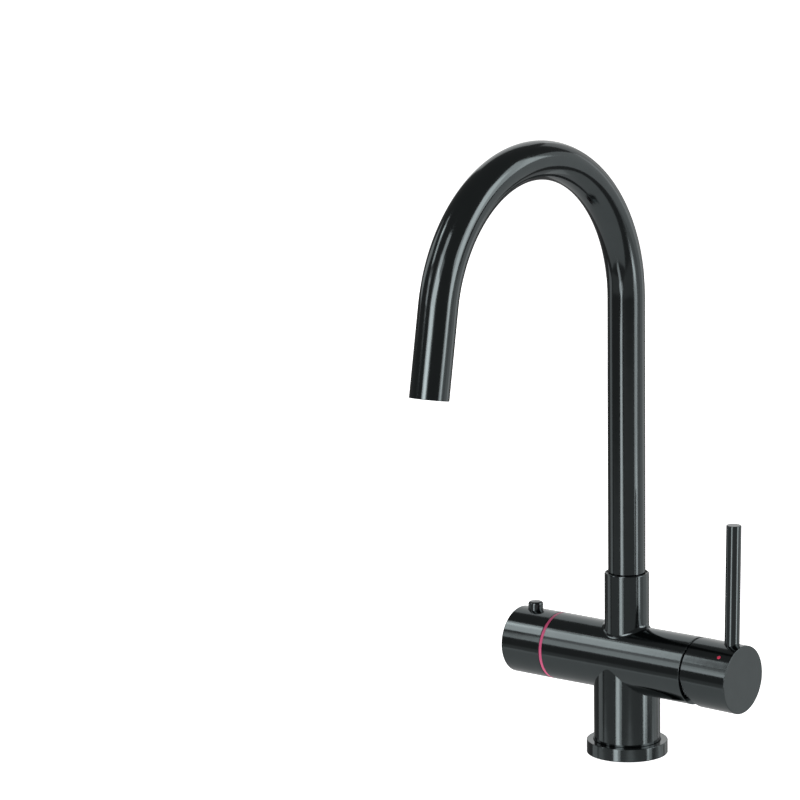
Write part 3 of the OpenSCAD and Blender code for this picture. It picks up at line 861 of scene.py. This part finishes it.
@dataclass
class Foot:
    """Flange and column."""

    casting: Casting
    edge: float = 0.4
    lip_r: float = 17.5
    groove: tuple[float, float, float] = (20.0, 23.5, 1.6)
    foot_gap: float = 0.05
    foot_groove: float = 0.65
    foot_edge: float = 0.1
    socket_r: float = 17.0
    socket_top: float = 21.5
    socket_rows: int = 3
    braze_gap: float = 0.03
    skin_rows: int = 8
    saddle_rings: int = 24

    def build(self) -> None:
        """Builds both pieces."""
        self._flange()
        self._column()

    def _flange(self) -> None:
        """A turned ring with rounded edges, a groove for its seal and a groove at the column."""
        (_, high), (column_low, column) = box_mm("base_flange"), box_mm("column")
        radius, top, column_r = high[0], high[2], column[0]
        foot = column_low[2]
        inner, outer, deep = self.groove
        hole = column_r + self.foot_gap
        ring = Surface("flange")
        ring.turn_profile(upright(), [
            (self.lip_r, foot), (self.lip_r, 0), (inner, 0), (inner, deep), (outer, deep),
            (outer, 0), (radius, 0, self.edge), (radius, top, self.edge),
            (hole + self.foot_groove, top, BROKEN),
            (hole, top - self.foot_groove, self.foot_edge), (hole, foot), (self.lip_r, foot),
        ])
        dress_piece(ring.piece(), "tap_body", "base_flange")

    def _column(self) -> None:
        """A tube whose top is the barrel's cylinder: height = axis minus root(R² - y²)."""
        low, high = box_mm("column")
        radius, foot, axis_z = high[0], low[2], self.casting.axis_z
        saddle_r = self.casting.radius + self.braze_gap
        up = upright()
        angles = circle()
        skin = Surface("column_tube")
        top = axis_z - np.sqrt(saddle_r**2 - (radius * np.sin(angles)) ** 2)
        skin.sleeve(up, radius, angles, foot, top, inward=False, rows=self.skin_rows)
        out = np.linspace(0, radius, self.saddle_rings + 1)[:, None]
        y = out * np.sin(angles)
        z = axis_z - np.sqrt(saddle_r**2 - y**2)
        points = np.stack([out * np.cos(angles), y, z], -1)
        skin.add(points, np.stack([0 * y, -y, axis_z - z], -1))
        skin.flat_ring(up, (self.socket_r, radius), angles, foot, -1)
        skin.sleeve(
            up, self.socket_r, angles, foot, self.socket_top, inward=True, rows=self.socket_rows
        )
        skin.flat_ring(up, (0, self.socket_r), angles, self.socket_top, -1)
        dress_piece(skin.piece(), "tap_body", "column")


@dataclass
class Spout:
    """Swan-neck tube: a straight foot, a bend in the plane of Y and Z, and a straight tail."""

    wall: float = 1.5
    box_gap: float = 0.02  # by which the tube stays inside the node's box
    bend_z: float = 294.5
    bend_r: float = 94.1
    bend_angle: float = 170.0
    tail: float = 54.0
    tip: float = 0.35  # length of the turned tip
    tip_edge: float = 0.3
    around: int = 160
    rows: tuple[int, int, int] = (24, 136, 8)  # steps of the foot, the bend and the tail

    def build(self) -> None:
        """Carries a ring along the tube's line and closes its two ends."""
        low, high = box_mm("spout_tube")
        radius = high[0] - self.box_gap
        bore = radius - self.wall
        foot = low[2]
        straight = np.linspace(foot, self.bend_z, self.rows[0], endpoint=False)
        turn = np.radians(np.linspace(0, self.bend_angle, self.rows[1] + 1))
        end = np.linspace(0, self.tail, self.rows[2] + 1)[1:]
        bend_y = -self.bend_r + self.bend_r * np.cos(turn)
        bend_z = self.bend_z + self.bend_r * np.sin(turn)
        y = np.concatenate([0 * straight, bend_y, bend_y[-1] - end * np.sin(turn[-1])])
        z = np.concatenate([straight, bend_z, bend_z[-1] + end * np.cos(turn[-1])])
        lean = np.concatenate([0 * straight, turn, np.full(len(end), turn[-1])])
        tube = Surface("swan_neck")
        angles = circle(self.around)
        across = np.stack([0 * lean, np.cos(lean), np.sin(lean)], -1)[:, None]
        forward = np.stack([0 * lean, -np.sin(lean), np.cos(lean)], -1)[:, None]
        out = np.cos(angles)[:, None] * np.array([1.0, 0, 0]) + np.sin(angles)[:, None] * across
        line = np.stack([0 * y, y, z], -1)[:, None]
        line[-1] -= forward[-1] * self.tip
        tube.add(line + out * radius, out)
        tube.add(line + out * bore, -out)
        tip = Axis((0, y[-1], z[-1]), tuple(forward[-1, 0]), (1, 0, 0), tuple(across[-1, 0]))
        tube.turn_profile(tip, [
            (radius, -self.tip), (radius, 0, self.tip_edge), (bore, 0, self.tip_edge),
            (bore, -self.tip),
        ], angles)
        tube.flat_ring(upright(), (bore, radius), angles, foot, -1)
        dress_piece(tube.piece(), "spout", "spout_tube")


@dataclass
class Knob:
    """Boiling water knob, its safety button and the button's spring."""

    casting: Casting
    wall: float = 3.0
    face_edge: float = 0.7
    rim_edge: float = 0.2
    band: tuple[float, float] = (-83.4, -64.0)  # stretch of the skin that holds the windows
    columns: int = 28
    floor: float = -81.7
    floor_gap: float = 0.2  # between the floor and the inner wall's windows
    hub_r: float = 6.0
    hub_end: float = -58.5
    hub_band: float = -77.0
    spindle_r: float = 4.03
    spindle_end: float = -81.0
    button_x: float = -73.1
    button_steps: int = 24
    hole_r: float = 4.9
    hole_edge: float = 0.2
    cap_r: float = 4.85
    cap_rise: float = 0.7  # over the top of the node
    cap_edge: float = 1.65
    cap_dome: float = 0.3
    cap_steps: int = 96
    cap_arc_steps: int = 10
    stem_r: float = 2.0
    stem_edge: float = 0.3
    flange_foot: float = 17.0
    flange_height: float = 1.3
    guide_r: float = 7.4
    guide_foot: float = 11.6
    guide_bore: float = 5.9
    guide_top: float = 18.4
    screw_x: float = -79.8
    screw_r: float = 1.55
    screw_steps: int = 16
    screw_tip: float = 0.12  # from the spindle's bore to the foot of the screw's hole
    coil_r: float = 4.4
    wire_r: float = 0.3
    wire_steps: int = 16
    coil_turns: float = 2.5
    coil_steps: int = 120
    coil_gap: float = 0.02

    def build(self) -> None:
        """Builds the knob, the button and the spring."""
        low, high = box_mm("boiling_knob")
        left, rim, radius, axis_z = low[0], high[0], high[1], self.casting.axis_z
        skin = Surface("boiling_knob_shell")
        outer, inner = Barrel(radius, axis_z), Barrel(radius - self.wall, axis_z, inward=True)
        start, end = self.band
        skin.turn_profile(
            outer.axis, [(0, left), (radius, left, self.face_edge), (radius, start)]
        )
        skin.turn_profile(outer.axis, [
            (radius, end), (radius, rim, self.rim_edge), (inner.radius, rim), (inner.radius, end),
        ])
        skin.turn_profile(outer.axis, [
            (self.hub_r, self.hub_band), (self.hub_r, self.hub_end),
            (self.spindle_r, self.hub_end), (self.spindle_r, self.spindle_end),
            (0, self.spindle_end),
        ])
        self._holes(skin, outer, inner)
        dress_piece(skin.piece(), "knob", "boiling_knob")
        self._button()
        self._spring()

    def _holes(self, skin: Surface, outer: Barrel, inner: Barrel) -> None:
        """The button's hole with its guide, and the screw's hole, with the walls round them.

        Args:
            skin: where the grids go.
            outer: the knob's skin.
            inner: the wall of its cavity.
        """
        inside = (self.floor + self.floor_gap, self.band[1])
        low = ROUND // 2
        top = Bore(self.button_x, 0, self.hole_r, self.hole_edge, 0, self.button_steps)
        below = Bore(self.screw_x, 180, self.screw_r, BROKEN, low, self.screw_steps)
        guide = Bore(self.button_x, 0, self.guide_r, 0, 0, self.button_steps)
        plain = Bore(self.screw_x, 180, self.screw_r, 0, low, self.screw_steps)
        (phi, start), (screw_phi, screw_start) = outer.band(
            skin, self.band, self.columns, [top, below]
        )
        (_, wall), (_, screw_wall) = inner.band(
            skin, inside, self.columns, [guide, plain], [phi, screw_phi]
        )
        up, down = top.axis(outer.height), below.axis(outer.height)
        skin.sleeve(up, self.hole_r, phi, start, self.guide_top, inward=True)
        skin.flat_ring(up, (self.hole_r, self.guide_bore), phi, self.guide_top, -1)
        skin.sleeve(up, self.guide_bore, phi, self.guide_top, self.guide_foot, inward=True)
        skin.flat_ring(up, (self.guide_bore, self.guide_r), phi, self.guide_foot, -1)
        skin.sleeve(up, self.guide_r, phi, self.guide_foot, wall, inward=False)
        skin.sleeve(down, self.screw_r, screw_phi, screw_start, screw_wall, inward=True)
        skin.turn_profile(outer.axis, [
            (inner.radius, inside[0]), (inner.radius, self.floor), (self.hub_r, self.floor),
        ])
        hub = Barrel(self.hub_r, outer.height)
        stretch = (self.floor, self.hub_band)
        ((_, hub_start),) = hub.band(skin, stretch, self.columns, [plain], [screw_phi])
        seat = self.spindle_r + self.screw_tip
        skin.sleeve(down, self.screw_r, screw_phi, hub_start, seat, inward=True)
        skin.flat_ring(down, (0, self.screw_r), screw_phi, seat, 1)

    def _button(self) -> None:
        """A turned pin with a flange and a domed cap whose edge is well rounded."""
        low, high = box_mm("safety_button")
        flange_r = high[0] - self.button_x
        foot, top = low[2], high[2] + self.cap_rise
        flange_foot = self.casting.axis_z + self.flange_foot
        flange_top = flange_foot + self.flange_height
        button = Surface("button_cap")
        button.turn_profile(upright(self.button_x), [
            (0, foot), (self.stem_r, foot, self.stem_edge), (self.stem_r, flange_foot),
            (flange_r, flange_foot), (flange_r, flange_top), (self.cap_r, flange_top),
            (self.cap_r, top - self.cap_dome, self.cap_edge), (0, top),
        ], circle(self.cap_steps), self.cap_arc_steps)
        dress_piece(button.piece(), "button", "safety_button")

    def _spring(self) -> None:
        """Return spring: a round wire swept along a helix, at its length with the button up; it
        doesn't shorten with the button.
        """
        low, high = box_mm("button_spring")
        foot, top = low[2] + self.coil_gap, high[2] - self.coil_gap
        lift = top - foot - 2 * self.wire_r
        share = shares(self.coil_steps)[..., None]
        angle = 2 * math.pi * self.coil_turns * share
        out = np.concatenate([np.cos(angle), np.sin(angle), 0 * angle], -1)
        rise = lift / (2 * math.pi * self.coil_turns * self.coil_r)
        ahead = np.concatenate([-np.sin(angle), np.cos(angle), rise + 0 * angle], -1)
        ahead /= math.hypot(1, rise)
        middle = np.array([self.button_x, 0, foot + self.wire_r]) + self.coil_r * out
        middle[..., 2:] += lift * share
        around = circle(self.wire_steps)[None, :, None]
        across = np.cos(around) * out + np.sin(around) * np.cross(ahead, out)
        coil = Surface("button_coil")
        coil.add(middle + self.wire_r * across, across)
        reach = self.wire_r * shares(1)[..., None]
        coil.add(middle[0] + reach * across[0], -ahead[0])
        coil.add(middle[-1] + reach * across[-1], ahead[-1])
        piece = coil.piece()
        dress_piece(piece, None, "button_spring")
        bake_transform(piece)


@dataclass
class Handle:
    """Mixer handle with its lever and its two colour markers, built upright and then leaned."""

    casting: Casting
    pivot_x: float = 45.0
    lean: float = 0.8
    rim_x: float = 55.8
    end_x: float = 88.8
    radius: float = 21.65
    wall: float = 2.7
    slope: float = 19.5
    rim_edge: float = 0.2
    end_edge: float = 0.5
    low_band: tuple[float, float] = (66.0, 74.0)  # stretches of the skin that hold the windows
    high_band: tuple[float, float] = (74.6, 85.6)
    floor: float = 67.3
    hub_x: float = 63.9
    hub_r: float = 8.0
    stem_half: float = 4.05
    stem_end: float = 76.0
    screw_x: float = 70.0
    screw_r: float = 2.5
    screw_tip: float = 0.15  # from the stem's bore to the foot of the screw's hole
    lever_x: float = 80.1
    lever_r: float = 4.7
    lever_seat: float = 19.0
    lever_edge: float = 0.4
    lever_top: float = 97.5
    pin_r: float = 2.95
    pin_foot: float = 8.0
    pin_hole_foot: float = 7.5
    clearance: float = 0.05
    marker: float = 42.0  # degrees from the lever
    marker_middle: int = 30  # in steps round the handle
    marker_r: float = 1.2
    marker_clearance: float = 0.02
    marker_dome: float = 0.4
    marker_proud: float = 0.01
    marker_foot: float = 20.05
    screw_steps: ClassVar[int] = 14  # half the width of each hole's window
    lever_steps: ClassVar[int] = 19
    marker_steps: ClassVar[int] = 8
    low_columns: ClassVar[int] = 16
    high_columns: ClassVar[int] = 20
    wall_rows: ClassVar[int] = 8
    face_rows: ClassVar[int] = 2
    edge_steps: ClassVar[int] = 4
    screw_rows: ClassVar[int] = 3
    pin_rows: ClassVar[int] = 2
    rod_steps: ClassVar[int] = 128
    dot_steps: ClassVar[int] = 64
    dot_rings: ClassVar[int] = 6

    @property
    def turn(self) -> Lean:
        """The lean at rest, about the cartridge's pivot."""
        return Lean(self.pivot_x, self.casting.axis_z, self.lean)

    @property
    def outer(self) -> Barrel:
        """The skin's round wall."""
        return Barrel(self.radius, self.casting.axis_z)

    @property
    def inner(self) -> Barrel:
        """The cavity's round wall."""
        return Barrel(self.radius - self.wall, self.casting.axis_z, inward=True)

    def build(self) -> None:
        """Builds the handle, the lever and the markers."""
        self._shell()
        self._lever()
        self._marker("hot_marker", 1)
        self._marker("cold_marker", -1)

    def _rim(self, angles: Array, radius: float) -> Array:
        """The rim's place along X: straight above the axis, sloped away below it."""
        slope = math.tan(math.radians(self.slope))
        return self.rim_x + np.maximum(0, -radius * np.cos(angles)) * slope

    def _shell(self) -> None:
        """Skin, oblique rim, cavity, hub with a square bore, and the four holes in the skin."""
        shell = Surface("mixer_handle_shell")
        outer, inner, angles = self.outer, self.inner, circle()
        rim = self._rim(angles, outer.radius) + self.rim_edge
        rim_in = self._rim(angles, inner.radius)
        x = rim + (self.low_band[0] - rim) * shares(self.wall_rows)
        outer.chart(shell, x, np.broadcast_to(angles, x.shape))
        x = rim_in + (self.floor - rim_in) * shares(self.wall_rows)
        inner.chart(shell, x, np.broadcast_to(angles, x.shape))
        self._rim_face(shell)
        shell.turn_profile(outer.axis, [
            (self.hub_r, self.hub_x), (self.hub_r, self.floor), (inner.radius, self.floor),
        ])
        self._square_bore(shell)
        self._screw_hole(shell)
        between = np.array([self.low_band[1], self.high_band[0]])
        outer.chart(shell, *np.meshgrid(between, angles, indexing="ij"))
        self._upper_holes(shell)
        shell.turn_profile(outer.axis, [
            (self.radius, self.high_band[1]), (self.radius, self.end_x, self.end_edge),
            (0, self.end_x),
        ])
        shell.lean(self.turn)
        dress_piece(shell.piece(), "handle", "mixer_handle")

    def _rim_face(self, shell: Surface) -> None:
        """The rim's face between the skin and the cavity, with a small rounded outer edge.

        Args:
            shell: where the grids go.
        """
        axis, angles, edge = self.outer.axis, circle(), self.rim_edge
        rim, rim_in = self._rim(angles, self.radius), self._rim(angles, self.inner.radius)
        arc = np.radians(90 * shares(self.edge_steps))
        radius = self.radius - edge + edge * np.cos(arc) + 0 * angles
        x = rim + edge - edge * np.sin(arc)
        normal = axis.turn(np.cos(arc) + 0 * angles, -np.sin(arc) + 0 * angles, angles)
        shell.add(axis.place(radius, x, angles), normal)
        share = shares(self.face_rows)
        flat = self.radius - edge
        radius = flat + (self.inner.radius - flat) * share + 0 * angles
        x = rim + (rim_in - rim) * share
        slope = math.tan(math.radians(self.slope))
        below = (np.cos(angles) < 0)[:, None]
        normal = np.where(below, np.array([-1.0, 0, -slope]), np.array([-1.0, 0, 0]))
        shell.add(axis.place(radius, x, angles), normal)

    def _square_bore(self, shell: Surface) -> None:
        """The hub's end face and the square bore for the stem, from one square of columns.

        Args:
            shell: where the grids go.
        """
        axis, angles, back = self.outer.axis, circle(), np.array([-1.0, 0, 0])
        square = self.stem_half / np.maximum(np.abs(np.cos(angles)), np.abs(np.sin(angles)))
        share = shares(self.face_rows)
        radius = self.hub_r + (square - self.hub_r) * share
        shell.add(axis.place(radius, self.hub_x, angles), back)
        shell.add(axis.place(square * share, self.stem_end, angles), back)
        x = np.linspace(self.hub_x, self.stem_end, self.face_rows + 1)[:, None]
        quarter = ROUND // 4
        for side in range(4):
            at = (np.arange(side * quarter, (side + 1) * quarter + 1) - quarter // 2) % ROUND
            inward = -axis.turn(np.ones(1), np.zeros(1), np.array([side * math.pi / 2]))[0]
            shell.add(axis.place(square[at], x, angles[at]), inward)

    def _screw_hole(self, shell: Surface) -> None:
        """The grub screw's hole at the underside, in its stretch of the skin.

        Args:
            shell: where the grids go.
        """
        screw = Bore(self.screw_x, 180, self.screw_r, BROKEN, ROUND // 2, self.screw_steps)
        ((phi, start),) = self.outer.band(shell, self.low_band, self.low_columns, [screw])
        down, foot = screw.axis(self.outer.height), self.stem_half + self.screw_tip
        shell.sleeve(down, self.screw_r, phi, start, foot, inward=True, rows=self.screw_rows)
        shell.flat_ring(down, (0, self.screw_r), phi, foot, 1)

    def _upper_holes(self, shell: Surface) -> None:
        """The stepped hole of the lever and the two markers' holes, in their stretch of skin.

        Args:
            shell: where the grids go.
        """
        hole, pin = self.lever_r + self.clearance, self.pin_r + self.clearance
        lever = Bore(self.lever_x, 0, hole, BROKEN, 0, self.lever_steps)
        dots = [
            Bore(
                self.lever_x, side * self.marker, self.marker_r + self.marker_clearance,
                middle_step=side * self.marker_middle, half_steps=self.marker_steps,
            )
            for side in (-1, 1)
        ]
        (phi, start), *dot_rims = self.outer.band(
            shell, self.high_band, self.high_columns, [lever, *dots]
        )
        up = lever.axis(self.outer.height)
        shell.sleeve(up, hole, phi, start, self.lever_seat, inward=True)
        shell.flat_ring(up, (pin, hole), phi, self.lever_seat, 1)
        shell.sleeve(
            up, pin, phi, self.lever_seat, self.pin_hole_foot, inward=True, rows=self.pin_rows
        )
        shell.flat_ring(up, (0, pin), phi, self.pin_hole_foot, 1)
        foot = self.marker_foot - self.clearance
        for dot, (dot_phi, dot_start) in zip(dots, dot_rims):
            axis = dot.axis(self.outer.height)
            shell.sleeve(axis, dot.radius, dot_phi, dot_start, foot, inward=True)
            shell.flat_ring(axis, (0, dot.radius), dot_phi, foot, 1)

    def _lever(self) -> None:
        """A turned rod with a pin below and a small rounded edge on top."""
        rod = Surface("lever_rod")
        rod.turn_profile(upright(self.lever_x, self.casting.axis_z), [
            (0, self.pin_foot), (self.pin_r, self.pin_foot), (self.pin_r, self.lever_seat),
            (self.lever_r, self.lever_seat), (self.lever_r, self.lever_top, self.lever_edge),
            (0, self.lever_top),
        ], circle(self.rod_steps))
        rod.lean(self.turn)
        dress_piece(rod.piece(), "handle", "mixer_lever")

    def _marker(self, name: str, side: int) -> None:
        """A small bead: the handle's curve plus a dome that falls with the radius squared.

        Args:
            name: its CAD node.
            side: 1 for the front, -1 for the back.
        """
        axis = Bore(self.lever_x, side * self.marker, self.marker_r).axis(self.outer.height)
        plug = Surface(name + "_dot")
        angles = circle(self.dot_steps)
        share = shares(self.dot_rings)
        across = self.marker_r * share * np.sin(angles)
        proud = self.radius + self.marker_proud + self.marker_dome * (1 - share**2)
        height = np.sqrt(proud**2 - across**2)
        steep = 2 * self.marker_dome * share / self.marker_r * self.radius
        normal = np.stack([steep * np.cos(angles), steep * np.sin(angles) + across, height], -1)
        basis = np.array([axis.first, axis.second, axis.along])
        plug.add(axis.place(self.marker_r * share + 0 * angles, height, angles), normal @ basis)
        foot = self.marker_foot
        plug.sleeve(axis, self.marker_r, angles, foot, height[-1], inward=False)
        plug.flat_ring(axis, (0, self.marker_r), angles, foot, -1)
        plug.lean(self.turn)
        dress_piece(plug.piece(), "handle", name)


NODE_FINISH = {"cartridge_cover": GREY_PLASTIC}
ALONG_BARREL = {BRASS: BRASS_X, STEEL: STEEL_X}
COLUMN_REACH = 20.0  # pieces whose middle lies nearer to the column's axis stand along it


def dress_nodes() -> None:
    """Gives every CAD node that still shows its own finish or that of its slot."""
    for name, node in frame["nodes"].items():
        if node.hide_render:
            continue
        finish = NODE_FINISH.get(name, SLOT_FINISH[SLOTS[name]])
        low, high = box_mm(name)
        if abs(low[0] + high[0]) / 2 > COLUMN_REACH:
            finish = ALONG_BARREL.get(finish, finish)
        node.data.materials.clear()
        node.data.materials.append(finish.material())
        log.info("%s: %s", name, finish.name)


# --- Studio ---


@dataclass(frozen=True)
class Panel:
    """A soft light panel that faces the tap."""

    name: str
    azimuth: float  # degrees from the front towards the right
    distance: float  # metres from the column's axis
    height: float  # metres of its middle
    width: float
    length: float
    turn: float  # degrees that it is turned in its own plane
    glow: float  # radiance
    aim: ClassVar[float] = 0.2  # height that it faces

    def build(self) -> None:
        """An area light whose power is radiance times pi times its area."""
        light = bpy.data.lights.new(self.name, "AREA")
        light.shape = "RECTANGLE"
        light.size, light.size_y = self.width, self.length
        light.energy = self.glow * math.pi * self.width * self.length
        lamp = bpy.data.objects.new(self.name, light)
        az, turn = math.radians(self.azimuth), math.radians(self.turn)
        middle = Vector((self.distance * math.sin(az), -self.distance * math.cos(az), self.height))
        faced = (middle - Vector((0, 0, self.aim))).to_track_quat("Z", "Y").to_matrix().to_4x4()
        lamp.matrix_world = Matrix.Translation(middle) @ faced @ Matrix.Rotation(turn, 4, "Z")
        lamp.visible_camera = False
        bpy.context.scene.collection.objects.link(lamp)


@dataclass
class Studio:
    """Pale floor, soft panels, world and camera."""

    panels: tuple[Panel, ...] = (
        Panel("front_box", 9.3, 4.5, 1.53, 1.7, 2.3, -23, 3.2),
        Panel("front_box_wide", 10.2, 4.5, 2.0, 2.65, 3.1, -13, 0.86),
        Panel("front_box_high", 11.2, 3.65, 3.4, 1.17, 2.0, -11, 2.1),
        Panel("front_strip", 5.4, 4.5, -0.23, 1.0, 2.5, -14, 2.0),
        Panel("front_strip_low", 8.5, 4.1, -0.77, 0.65, 1.4, 55, 1.4),
        Panel("front_foot", 1.8, 2.75, -1.15, 0.62, 0.97, -20, 1.6),
        Panel("right_strip", 104.7, 4.5, 0.88, 1.5, 4.85, -28, 1.6),
        Panel("right_low", 101, 4.5, -0.98, 1.1, 0.5, 0, 1.9),
        Panel("right_box", 115, 4.5, 1.7, 4.45, 2.5, 27, 2.0),
        Panel("right_grey", 109, 3.2, -0.27, 2.15, 1.1, -4, 0.41),
        Panel("right_foot", 102, 4.5, -1.3, 1.4, 0.4, 0, 0.8),
        Panel("right_dim", 54, 4.5, -1.17, 6.0, 1.35, 0, 0.13),
        Panel("back_right", 149, 4.5, 0.45, 2.9, 4.0, -11, 0.6),
        Panel("back", 178.5, 4.5, 1.0, 2.25, 5.2, -28, 0.52),
        Panel("back_foot", 174, 3.2, -1.7, 2.6, 1.05, 35, 0.33),
        Panel("back_left", 221, 1.95, 0.9, 1.3, 2.15, -3, 0.77),
        Panel("left_box", -80, 1.65, 0.73, 0.6, 0.75, -13, 0.96),
        Panel("left_grey", -71, 4.5, -0.77, 1.6, 1.75, 19, 0.6),
        Panel("left_dim", -30, 4.5, -1.3, 3.6, 1.15, 0, 0.14),
        Panel("left_high", -50, 4.5, 3.7, 0.94, 2.1, 35, 2.6),
        Panel("left_top", -61, 4.5, 4.5, 0.6, 1.2, 35, 2.2),
        Panel("left_mid", -35, 4.5, 1.5, 0.8, 1.16, 4, 1.4),
        Panel("left_band", -34.5, 1.8, 1.04, 0.5, 0.24, 7, 0.6),
        Panel("left_low", -31, 4.5, 1.3, 0.35, 0.7, 0, 0.8),
        Panel("below", 0, 0, -0.26, 1.5, 1.5, 0, 0.42),
    )
    target: tuple[float, float, float] = (0.0, 0.0, 0.15)
    azimuth: float = 35.7293
    elevation: float = 12.1775
    distance: float = 1.9955
    yaw: float = 39.9282
    pitch: float = 9.8974
    roll: float = -0.8412
    focal_px: float = 3130.84
    frame_px: ClassVar[float] = 800.0
    sensor: ClassVar[float] = 36.0
    clip: ClassVar[tuple[float, float]] = (0.05, 60.0)
    floor_side: ClassVar[float] = 12.0
    floor_colour: ClassVar[str] = "#f4f4f4"
    floor_roughness: ClassVar[float] = 0.9
    floor_glow: ClassVar[float] = 1.0
    world_seen: ClassVar[float] = 1.3
    world_mirrored: ClassVar[float] = 0.12

    def build(self) -> None:
        """Builds all of it."""
        for panel in self.panels:
            panel.build()
        self._floor()
        self._world()
        self._camera()

    def _floor(self) -> None:
        """A wide pale floor that takes soft shadows and isn't mirrored by the metal."""
        mesh = bpy.data.meshes.new("floor")
        corners = [(x * self.floor_side, y * self.floor_side, 0)
                   for x, y in ((-1, -1), (1, -1), (1, 1), (-1, 1))]
        mesh.from_pydata(corners, [], [[0, 1, 2, 3]])
        floor = bpy.data.objects.new("floor", mesh)
        bpy.context.scene.collection.objects.link(floor)
        # White paper, evenly lit from all round: it glows a little, so it stays white.
        material = bpy.data.materials.new("white_paper")
        tree = empty_tree(material)
        shader = add_node(tree, "BsdfPrincipled", {
            "Base Color": linear(self.floor_colour), "Roughness": self.floor_roughness,
            "Emission Color": (1, 1, 1, 1), "Emission Strength": self.floor_glow,
        })
        add_node(tree, "OutputMaterial", {"Surface": shader.outputs["BSDF"]})
        mesh.materials.append(material)
        floor.visible_glossy = False
        floor.visible_shadow = False

    def _world(self) -> None:
        """White to the camera, dim to the metal."""
        world = bpy.data.worlds.new("studio")
        bpy.context.scene.world = world
        tree = empty_tree(world)
        path = add_node(tree, "LightPath")
        dim, white = (
            add_node(tree, "Background", {"Color": (1, 1, 1, 1), "Strength": strength})
            for strength in (self.world_mirrored, self.world_seen)
        )
        mix = add_node(tree, "MixShader", {
            0: path.outputs["Is Camera Ray"], 1: dim.outputs[0], 2: white.outputs[0],
        })
        add_node(tree, "OutputWorld", {"Surface": mix.outputs[0]})

    def _camera(self) -> None:
        """The camera stands round the column at its azimuth and elevation and looks past it."""
        az, el = math.radians(self.azimuth), math.radians(self.elevation)
        yaw, pitch, roll = (math.radians(v) for v in (self.yaw, self.pitch, self.roll))
        back = Vector((math.sin(az) * math.cos(el), -math.cos(az) * math.cos(el), math.sin(el)))
        data = bpy.data.cameras.new("camera")
        data.sensor_width = self.sensor
        data.lens = self.focal_px / self.frame_px * self.sensor
        data.clip_start, data.clip_end = self.clip
        camera = bpy.data.objects.new("camera", data)
        bpy.context.scene.collection.objects.link(camera)
        turned = Matrix.Rotation(yaw, 4, "Z") @ Matrix.Rotation(math.pi / 2 - pitch, 4, "X")
        middle = Vector(self.target) + back * self.distance
        camera.matrix_world = (
            Matrix.Translation(middle) @ turned @ Matrix.Rotation(roll, 4, "Z")
        )
        bpy.context.scene.camera = camera


def main() -> None:
    """Builds the tap and its studio."""
    logging.basicConfig(level=logging.INFO, format="%(name)s %(message)s")
    casting = Casting()
    casting.build()
    Foot(casting).build()
    Spout().build()
    Knob(casting).build()
    Handle(casting).build()
    dress_nodes()
    Studio().build()
    bpy.context.scene.view_settings.view_transform = "Standard"


if __name__ == "__main__":
    main()
